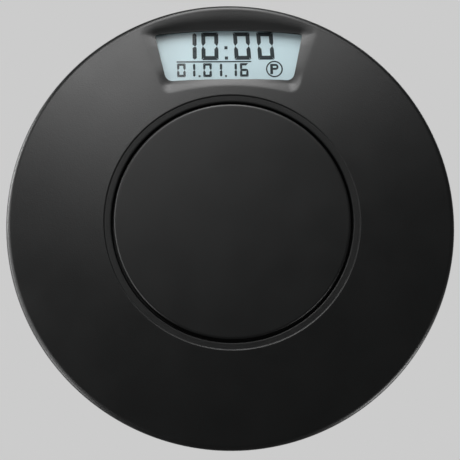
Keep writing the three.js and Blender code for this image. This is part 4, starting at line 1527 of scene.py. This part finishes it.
@dataclass
class BatteryCover:
    """Round cover over the coin cell, with bayonet lugs and a coin slot."""

    radius: float = 16.8
    flange_front: float = 14.6
    neck_inner: float = 13.0
    neck_outer: float = 14.2
    neck_front: float = 12.5
    lug_outer: float = 15.7
    lug_rear: float = 13.4
    lug_half_degrees: float = 13.0
    chamfer: float = 0.3
    slot_length: float = 20.0
    slot_width: float = 2.0
    slot_depth: float = 0.7
    slot_break: float = 0.15
    pointer_size: float = 1.5
    pointer_circle: float = 14.6
    pointer_depth: float = 0.25
    pointer_half_share: float = 0.55

    def build(self) -> bpy.types.Object:
        """Makes the cover with its lugs, coin slot and pointer."""
        top = DISC.rear_y
        outline = rounded(
            [
                (0, self.flange_front),
                (self.neck_inner, self.flange_front),
                (self.neck_inner, self.neck_front),
                (self.neck_outer, self.neck_front),
                (self.neck_outer, self.flange_front),
                (self.radius, self.flange_front),
                (self.radius, top),
                (0, top),
            ],
            {6: self.chamfer},
            steps=4,
        )
        cover = revolve("battery_cover_moulding", outline, even_angles(DISC.steps), TEXTURED.abs)
        lugs = [
            prism(
                "lug",
                sector_loop(
                    (self.neck_inner + self.neck_outer) / 2,
                    self.lug_outer,
                    middle - self.lug_half_degrees,
                    middle + self.lug_half_degrees,
                ),
                self.neck_front,
                self.lug_rear,
            )
            for middle in DISC.bayonet_angles
        ]
        combine(cover, Boolean.JOIN, lugs)
        slot = stadium_loop(self.slot_length, self.slot_width)
        wide = stadium_loop(
            self.slot_length + 2 * self.slot_break, self.slot_width + 2 * self.slot_break
        )
        slot_cutter = loft(
            "coin_slot",
            [
                flat_ring(slot, top - self.slot_depth),
                flat_ring(slot, top - self.slot_break),
                flat_ring(wide, top),
                flat_ring(wide, top + DISC.overrun),
            ],
        )
        size = self.pointer_size
        z = self.pointer_circle
        half = size * self.pointer_half_share
        arrow = np.array([(-half, z - size / 2), (half, z - size / 2), (0, z + size / 2)])
        pointer = prism("pointer", arrow, top - self.pointer_depth, top + DISC.overrun)
        return smooth(combine(cover, Boolean.CUT, [slot_cutter, pointer]))

    def place(self) -> None:
        """Builds the cover and puts it on its body."""
        settle(self.build(), Body.BATTERY_COVER, ["battery_cover"])


@dataclass
class SetButton:
    """One rubber cap with its flange and stem, and a sign sunk into its face."""

    body: Body
    node: str
    x: float
    is_plus: bool
    z: float = 28.0
    radius: float = 3.95
    face_y: float = 15.7
    rounding: float = 0.45
    flange_radius: float = 5.0
    flange_front: float = 13.1
    flange_rear: float = 14.1
    stem_radius: float = 1.5
    dip: float = 0.18
    sign_length: float = 2.6
    sign_width: float = 0.5
    sign_depth: float = 0.2
    crown_rows: int = 10
    rounding_steps: int = 6
    turn_steps: int = 64
    sharp_degrees: float = 40.0

    def build(self) -> bpy.types.Object:
        """Makes the cap."""
        stem_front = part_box(self.node)[0].y / MM
        turns = [i / self.crown_rows for i in range(self.crown_rows, 0, -1)]
        crown = self.radius - self.rounding
        face = [(crown * t, self.face_y - self.dip * (1 - t * t)) for t in turns[1:]]
        outline = [
            (0, stem_front),
            (self.stem_radius, stem_front),
            (self.stem_radius, self.flange_front),
            (self.flange_radius, self.flange_front),
            (self.flange_radius, self.flange_rear),
            (self.radius, self.flange_rear),
            *round_corner(
                (self.radius, self.flange_rear),
                (self.radius, self.face_y),
                (0, self.face_y),
                self.rounding,
                self.rounding_steps,
            ),
            *face,
            (0, self.face_y - self.dip),
        ]
        turn = even_angles(self.turn_steps)
        cap = revolve(f"{self.node}_cap", outline, turn, RUBBER.silicone, (self.x, self.z))
        half, line = self.sign_length / 2, self.sign_width / 2
        low = self.face_y - self.dip - self.sign_depth
        high = self.face_y + DISC.overrun
        x, z = self.x, self.z
        bars = [prism("sign", box_loop(x - half, x + half, z - line, z + line), low, high)]
        if self.is_plus:
            upright = box_loop(x - line, x + line, z - half, z + half)
            bars.append(prism("sign", upright, low, high))
        return smooth(combine(cap, Boolean.CUT, bars), self.sharp_degrees)

    def place(self) -> None:
        """Builds the cap and puts it on its body."""
        settle(self.build(), self.body, [self.node])


@dataclass
class CaseScrews:
    """Four pan-headed screws that clamp the covers."""

    circle: float = 40.0
    count: int = 4
    first_degrees: float = 45.0
    head_radius: float = 2.3
    head_front: float = 13.7
    head_rear: float = 15.3
    shank_radius: float = 0.9
    cross_length: float = 2.7
    cross_width: float = 0.62
    cross_depth: float = 1.05
    cross_floor_share: float = 0.3
    head_side_share: float = 0.4
    crown_power: float = 0.7
    crown_steps: int = 7
    turn_steps: int = 32
    seed: int = 7

    def pattern(self) -> bpy.types.Object:
        """Makes one screw on the disc's axis."""
        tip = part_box("case_screw_1")[0].y / MM
        high = self.head_rear - self.head_front
        turns = quarter_turn(self.crown_steps)[:-1]
        side = self.head_front + high * self.head_side_share
        crown = high * (1 - self.head_side_share)
        head = [
            (self.head_radius * math.cos(t) ** self.crown_power, side + crown * math.sin(t))
            for t in turns
        ]
        outline = [
            (0, tip),
            (self.shank_radius / 2, tip),
            (self.shank_radius, tip + self.shank_radius),
            (self.shank_radius, self.head_front),
            (self.head_radius, self.head_front),
            *head,
            (0, self.head_rear),
        ]
        screw = revolve("screw_pattern", outline, even_angles(self.turn_steps))
        low, high_y = self.head_rear - self.cross_depth, self.head_rear + DISC.overrun
        arms = []
        for length, width in (
            (self.cross_length, self.cross_width),
            (self.cross_width, self.cross_length),
        ):
            deep_x, deep_z = length * self.cross_floor_share, width * self.cross_floor_share
            deep = box_loop(-deep_x, deep_x, -deep_z, deep_z)
            wide = box_loop(-length / 2, length / 2, -width / 2, width / 2)
            rings = [
                flat_ring(deep, low),
                flat_ring(wide, self.head_rear),
                flat_ring(wide, high_y),
            ]
            arms.append(loft("cross_arm", rings))
        return combine(screw, Boolean.CUT, arms)

    def tree(self) -> bpy.types.NodeTree:
        """Builds the tree that sets copies of a screw on a circle, each turned its own way."""
        tree = bpy.data.node_groups.new("screws_on_circle", "GeometryNodeTree")
        for name, kind in (
            ("Seed mesh", "NodeSocketGeometry"),
            ("Screw", "NodeSocketObject"),
            ("Circle radius", "NodeSocketFloat"),
            ("Count", "NodeSocketInt"),
            ("First angle", "NodeSocketFloat"),
            ("Seed", "NodeSocketInt"),
            ("Finish", "NodeSocketMaterial"),
        ):
            tree.interface.new_socket(name, in_out="INPUT", socket_type=kind)
        tree.interface.new_socket("Screws", in_out="OUTPUT", socket_type="NodeSocketGeometry")
        given = tree.nodes.new("NodeGroupInput").outputs
        ring = add_node(
            tree,
            "GeometryNodeMeshCircle",
            {"Vertices": given["Count"], "Radius": given["Circle radius"]},
            fill_type="NONE",
        ).outputs["Mesh"]
        pose = add_node(tree, "ShaderNodeCombineXYZ", {"X": math.pi / 2}).outputs["Vector"]
        spin = add_node(
            tree, "ShaderNodeCombineXYZ", {"Y": given["First angle"]}
        ).outputs["Vector"]
        upright = add_node(
            tree, "GeometryNodeTransform", {"Geometry": ring, "Rotation": pose}
        ).outputs["Geometry"]
        turned = add_node(
            tree, "GeometryNodeTransform", {"Geometry": upright, "Rotation": spin}
        ).outputs["Geometry"]
        screw = add_node(
            tree, "GeometryNodeObjectInfo", {"Object": given["Screw"]}
        ).outputs["Geometry"]
        chance = add_node(
            tree,
            "FunctionNodeRandomValue",
            {"Max": (0.0, math.pi, 0.0), "Seed": given["Seed"]},
            data_type="FLOAT_VECTOR",
        ).outputs["Value"]
        copies = add_node(
            tree,
            "GeometryNodeInstanceOnPoints",
            {"Points": turned, "Instance": screw, "Rotation": chance},
        ).outputs["Instances"]
        real = add_node(tree, "GeometryNodeRealizeInstances", {"Geometry": copies}).outputs[0]
        dressed = add_node(
            tree, "GeometryNodeSetMaterial", {"Geometry": real, "Material": given["Finish"]}
        ).outputs["Geometry"]
        add_node(tree, "NodeGroupOutput", {"Screws": dressed})
        return tree

    def build(self) -> bpy.types.Object:
        """Makes the four screws as one mesh."""
        pattern = self.pattern()
        seed = new_piece("case_screws", np.zeros((1, 3)), [], None)
        values = {
            "Screw": pattern,
            "Circle radius": self.circle * MM,
            "Count": self.count,
            "First angle": math.radians(self.first_degrees),
            "Seed": self.seed,
            "Finish": ZINC_STEEL.build(),
        }
        screws = grown_by_nodes(seed, self.tree(), values)
        bpy.data.meshes.remove(pattern.data)
        return smooth(screws)

    def place(self) -> None:
        """Builds the screws and puts them on their body."""
        names = [f"case_screw_{i + 1}" for i in range(self.count)]
        settle(self.build(), Body.HOUSING, names)


class Electronics:
    """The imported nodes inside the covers, which keep their own shapes."""

    def place(self) -> None:
        """Gives each of them its finish."""
        epoxy = MOULDED_EPOXY.build()
        zinc = ZINC_STEEL.build()
        dress(["display_holder"], MOULDED.abs)
        dress(["circuit_board"], SOLDER_MASK.build())
        dress(["controller_chip", "motion_sensor", "reservoir_capacitor"], epoxy)
        dress(["switch_body_left", "switch_body_right"], epoxy)
        dress(["switch_plunger_left", "switch_plunger_right"], epoxy)
        dress(["clock_crystal", "board_screw_1", "board_screw_2", "board_screw_3"], zinc)
        dress(["coin_cell"], PRESSED_CAN.build())
        dress(["negative_contact", "positive_contact"], NICKEL_SHEET.build())
        dress(["cover_seal", "contact_strip"], RUBBER.silicone)


@dataclass(frozen=True)
class Lamp:
    """A softbox that faces the disc.

    Its side is where it stands round the disc as the front is seen, in degrees from +X towards
    +Z, and its tilt is how far it stands off the disc's axis.
    """

    name: str
    side: float
    tilt: float
    radiance: float
    size: float = 0.35
    distance: float = 0.8

    def place(self) -> None:
        """Hangs the lamp."""
        light = bpy.data.lights.new(self.name, "AREA")
        light.shape = "RECTANGLE"
        light.size = light.size_y = self.size
        light.energy = self.radiance * math.pi * self.size * self.size
        thing = bpy.data.objects.new(self.name, light)
        x, z = polar(self.distance * math.sin(math.radians(self.tilt)), self.side)
        thing.location = Vector((x, -self.distance * math.cos(math.radians(self.tilt)), z))
        thing.rotation_euler = thing.location.to_track_quat("Z", "Y").to_euler()
        thing.visible_camera = False
        bpy.context.scene.collection.objects.link(thing)


@dataclass
class Studio:
    """Pale floor with a curved backdrop, soft lamps and the camera."""

    backdrop_colour: str = "#cccccc"
    floor_z: float = -0.7
    floor_half: float = 4.0
    sweep_radius: float = 0.5
    backdrop_y: float = 1.2
    backdrop_top: float = 2.2
    floor_evenness: float = 0.7
    shaded_reach: float = 0.9
    even_reach: float = 2.2
    room_level: float = 0.085
    cloth_level: float = 0.082
    cloth_half: float = 1.1
    cloth_rear: float = 0.9
    cloth_gap: float = 0.01
    camera_distance: float = 0.25
    camera_azimuth: float = -2.43
    camera_elevation: float = -7.16
    camera_roll: float = 1.05
    focal_pixels: float = 1118.0
    principal: tuple[float, float] = (231.85, 223.38)
    image_size: int = 460
    sensor_mm: float = 36.0
    aim: tuple[float, float, float] = (0.0, 0.006, 0.0)
    clip_start: float = 0.01
    clip_end: float = 20.0
    sweep_steps: int = 12

    def lamps(self) -> list[Lamp]:
        """Gives the lamps."""
        return [
            Lamp("top_softbox_a", 70.0, 45.0, 2.25),
            Lamp("top_softbox_b", 90.0, 45.0, 1.1),
            Lamp("top_softbox_c", 105.0, 45.0, 1.35),
            Lamp("top_softbox_d", 120.0, 45.0, 4.7),
            Lamp("front_softbox", 120.0, 25.0, 1.3),
            Lamp("top_strip", 90.0, 65.0, 9.5),
            Lamp("left_strip", 180.0, 65.0, 3.0),
            Lamp("low_left_strip", 210.0, 65.0, 3.0),
            Lamp("rim_lamp_a", 160.0, 99.0, 10.0),
            Lamp("rim_lamp_b", 185.0, 99.0, 5.0),
            Lamp("rim_lamp_c", 215.0, 99.0, 4.5),
            Lamp("rim_lamp_d", 320.0, 99.0, 6.5),
            Lamp("rear_softbox", 60.0, 140.0, 2.0, size=0.5),
        ]

    def seen_rays(self, tree: bpy.types.NodeTree) -> bpy.types.NodeSocket:
        """Gives 1 for rays that the camera, metal or glass sends, and 0 for the rest."""
        path = add_node(tree, "ShaderNodeLightPath").outputs
        seen = path["Is Camera Ray"]
        for kind in ("Is Glossy Ray", "Is Transmission Ray"):
            seen = add_node(
                tree, "ShaderNodeMath", {0: seen, 1: path[kind]}, operation="MAXIMUM"
            ).outputs[0]
        return seen

    def pale_material(self) -> bpy.types.Material:
        """Makes the sheet's finish: matt grey paper that shows an even grey upright or far off."""
        material, tree = blank_material("matt_backdrop_paper")
        place = add_node(tree, "ShaderNodeTexCoord").outputs["Object"]
        height = add_node(tree, "ShaderNodeSeparateXYZ", {"Vector": place}).outputs["Z"]
        reach = add_node(tree, "ShaderNodeVectorMath", {0: place}, operation="LENGTH")
        shares = [
            add_node(
                tree,
                "ShaderNodeMapRange",
                {
                    "Value": value,
                    "From Min": start,
                    "From Max": end,
                    "To Min": self.floor_evenness,
                    "To Max": 1.0,
                },
            ).outputs["Result"]
            for value, start, end in (
                (height, self.floor_z, self.floor_z + self.sweep_radius),
                (reach.outputs["Value"], self.shaded_reach, self.even_reach),
            )
        ]
        even = add_node(
            tree, "ShaderNodeMath", {0: shares[0], 1: shares[1]}, operation="MAXIMUM"
        ).outputs[0]
        share = add_node(
            tree, "ShaderNodeMath", {0: self.seen_rays(tree), 1: even}, operation="MULTIPLY"
        ).outputs[0]
        colour = {"Color": linear(self.backdrop_colour)}
        paper = add_node(tree, "ShaderNodeBsdfDiffuse", colour).outputs["BSDF"]
        glow = add_node(tree, "ShaderNodeEmission", colour).outputs["Emission"]
        both = add_node(tree, "ShaderNodeMixShader", {0: share, 1: paper, 2: glow})
        add_node(tree, "ShaderNodeOutputMaterial", {"Surface": both.outputs["Shader"]})
        return material

    def build_floor(self) -> None:
        """Makes the floor and the backdrop as one swept sheet."""
        turns = quarter_turn(self.sweep_steps)
        start = self.backdrop_y - self.sweep_radius
        section = [(-self.floor_half, self.floor_z)]
        section += [
            (
                start + self.sweep_radius * math.sin(t),
                self.floor_z + self.sweep_radius * (1 - math.cos(t)),
            )
            for t in turns
        ]
        section.append((self.backdrop_y, self.backdrop_top))
        half = self.floor_half
        points = [(x, y, z) for y, z in section for x in (-half, half)]
        faces = [(2 * i, 2 * i + 1, 2 * i + 3, 2 * i + 2) for i in range(len(section) - 1)]
        sheet = new_piece("backdrop_sheet", np.array(points) / MM, faces, self.pale_material())
        sheet.data.shade_smooth()

    def build_world(self) -> None:
        """Makes the room: pale where the camera, metal and glass see it, dim for the rest."""
        world = bpy.data.worlds.new("studio_room")
        world.use_nodes = True
        tree = world.node_tree
        tree.nodes.clear()
        pale = add_node(
            tree, "ShaderNodeBackground", {"Color": linear(self.backdrop_colour)}
        ).outputs["Background"]
        dim = add_node(
            tree,
            "ShaderNodeBackground",
            {"Color": linear("#ffffff"), "Strength": self.room_level},
        ).outputs["Background"]
        both = add_node(tree, "ShaderNodeMixShader", {0: self.seen_rays(tree), 1: dim, 2: pale})
        add_node(tree, "ShaderNodeOutputWorld", {"Surface": both.outputs["Shader"]})
        bpy.context.scene.world = world

    def build_flags(self) -> None:
        """Hangs dark cloth round the front that only reflections see, so that black stays dark."""
        material, tree = blank_material("dark_studio_cloth")
        glow = add_node(
            tree,
            "ShaderNodeEmission",
            {"Color": linear("#ffffff"), "Strength": self.cloth_level},
        ).outputs["Emission"]
        add_node(tree, "ShaderNodeOutputMaterial", {"Surface": glow})
        half, rear = self.cloth_half, self.cloth_rear
        low = self.floor_z + self.cloth_gap
        points = [(x, y, z) for x in (-half, half) for y in (-half, rear) for z in (low, half)]
        faces = [(0, 1, 5, 4), (0, 2, 3, 1), (4, 5, 7, 6), (0, 4, 6, 2), (1, 3, 7, 5)]
        cloth = new_piece("studio_cloth", np.array(points) / MM, faces, material)
        cloth.visible_camera = False
        cloth.visible_diffuse = False
        cloth.visible_transmission = False
        cloth.visible_volume_scatter = False
        cloth.visible_shadow = False

    def build_camera(self) -> None:
        """Sets the camera at the photograph's angle."""
        lens = bpy.data.cameras.new("camera")
        lens.sensor_width = self.sensor_mm
        lens.lens = self.focal_pixels / self.image_size * self.sensor_mm
        lens.shift_x = (self.image_size / 2 - self.principal[0]) / self.image_size
        lens.shift_y = (self.principal[1] - self.image_size / 2) / self.image_size
        lens.clip_start = self.clip_start
        lens.clip_end = self.clip_end
        camera = bpy.data.objects.new("camera", lens)
        side, rise = math.radians(self.camera_azimuth), math.radians(self.camera_elevation)
        ahead = Vector((math.sin(side), -math.cos(side), math.tan(rise))).normalized()
        offset = ahead * self.camera_distance
        camera.location = Vector(self.aim) + offset
        facing = offset.to_track_quat("Z", "Y").to_matrix()
        roll = Matrix.Rotation(-math.radians(self.camera_roll), 3, "Z")
        camera.rotation_euler = (facing @ roll).to_euler()
        bpy.context.scene.collection.objects.link(camera)
        bpy.context.scene.camera = camera

    def place(self) -> None:
        """Builds the studio."""
        self.build_floor()
        self.build_world()
        self.build_flags()
        for lamp in self.lamps():
            lamp.place()
        self.build_camera()
        settings = bpy.context.scene.view_settings
        settings.view_transform = "Standard"


class MOULDED:
    """Shared ABS finish of the front."""

    abs = MOULDED_ABS.build()


class TEXTURED:
    """Shared ABS finish of the rear."""

    abs = TEXTURED_ABS.build()


class RUBBER:
    """Shared silicone finish."""

    silicone = SILICONE.build()


def main() -> None:
    """Builds the sub-assemblies and the studio in order."""
    logging.basicConfig(level=logging.INFO, format="%(message)s")
    MountPlate().place()
    FrontCover().place()
    DisplayWindow().place()
    RearCover().place()
    BatteryCover().place()
    SetButton(Body.LEFT_BUTTON, "set_button_left", -RearCover.button_x, False).place()
    SetButton(Body.RIGHT_BUTTON, "set_button_right", RearCover.button_x, True).place()
    CaseScrews().place()
    Electronics().place()
    Studio().place()


if __name__ == "__main__":
    main()
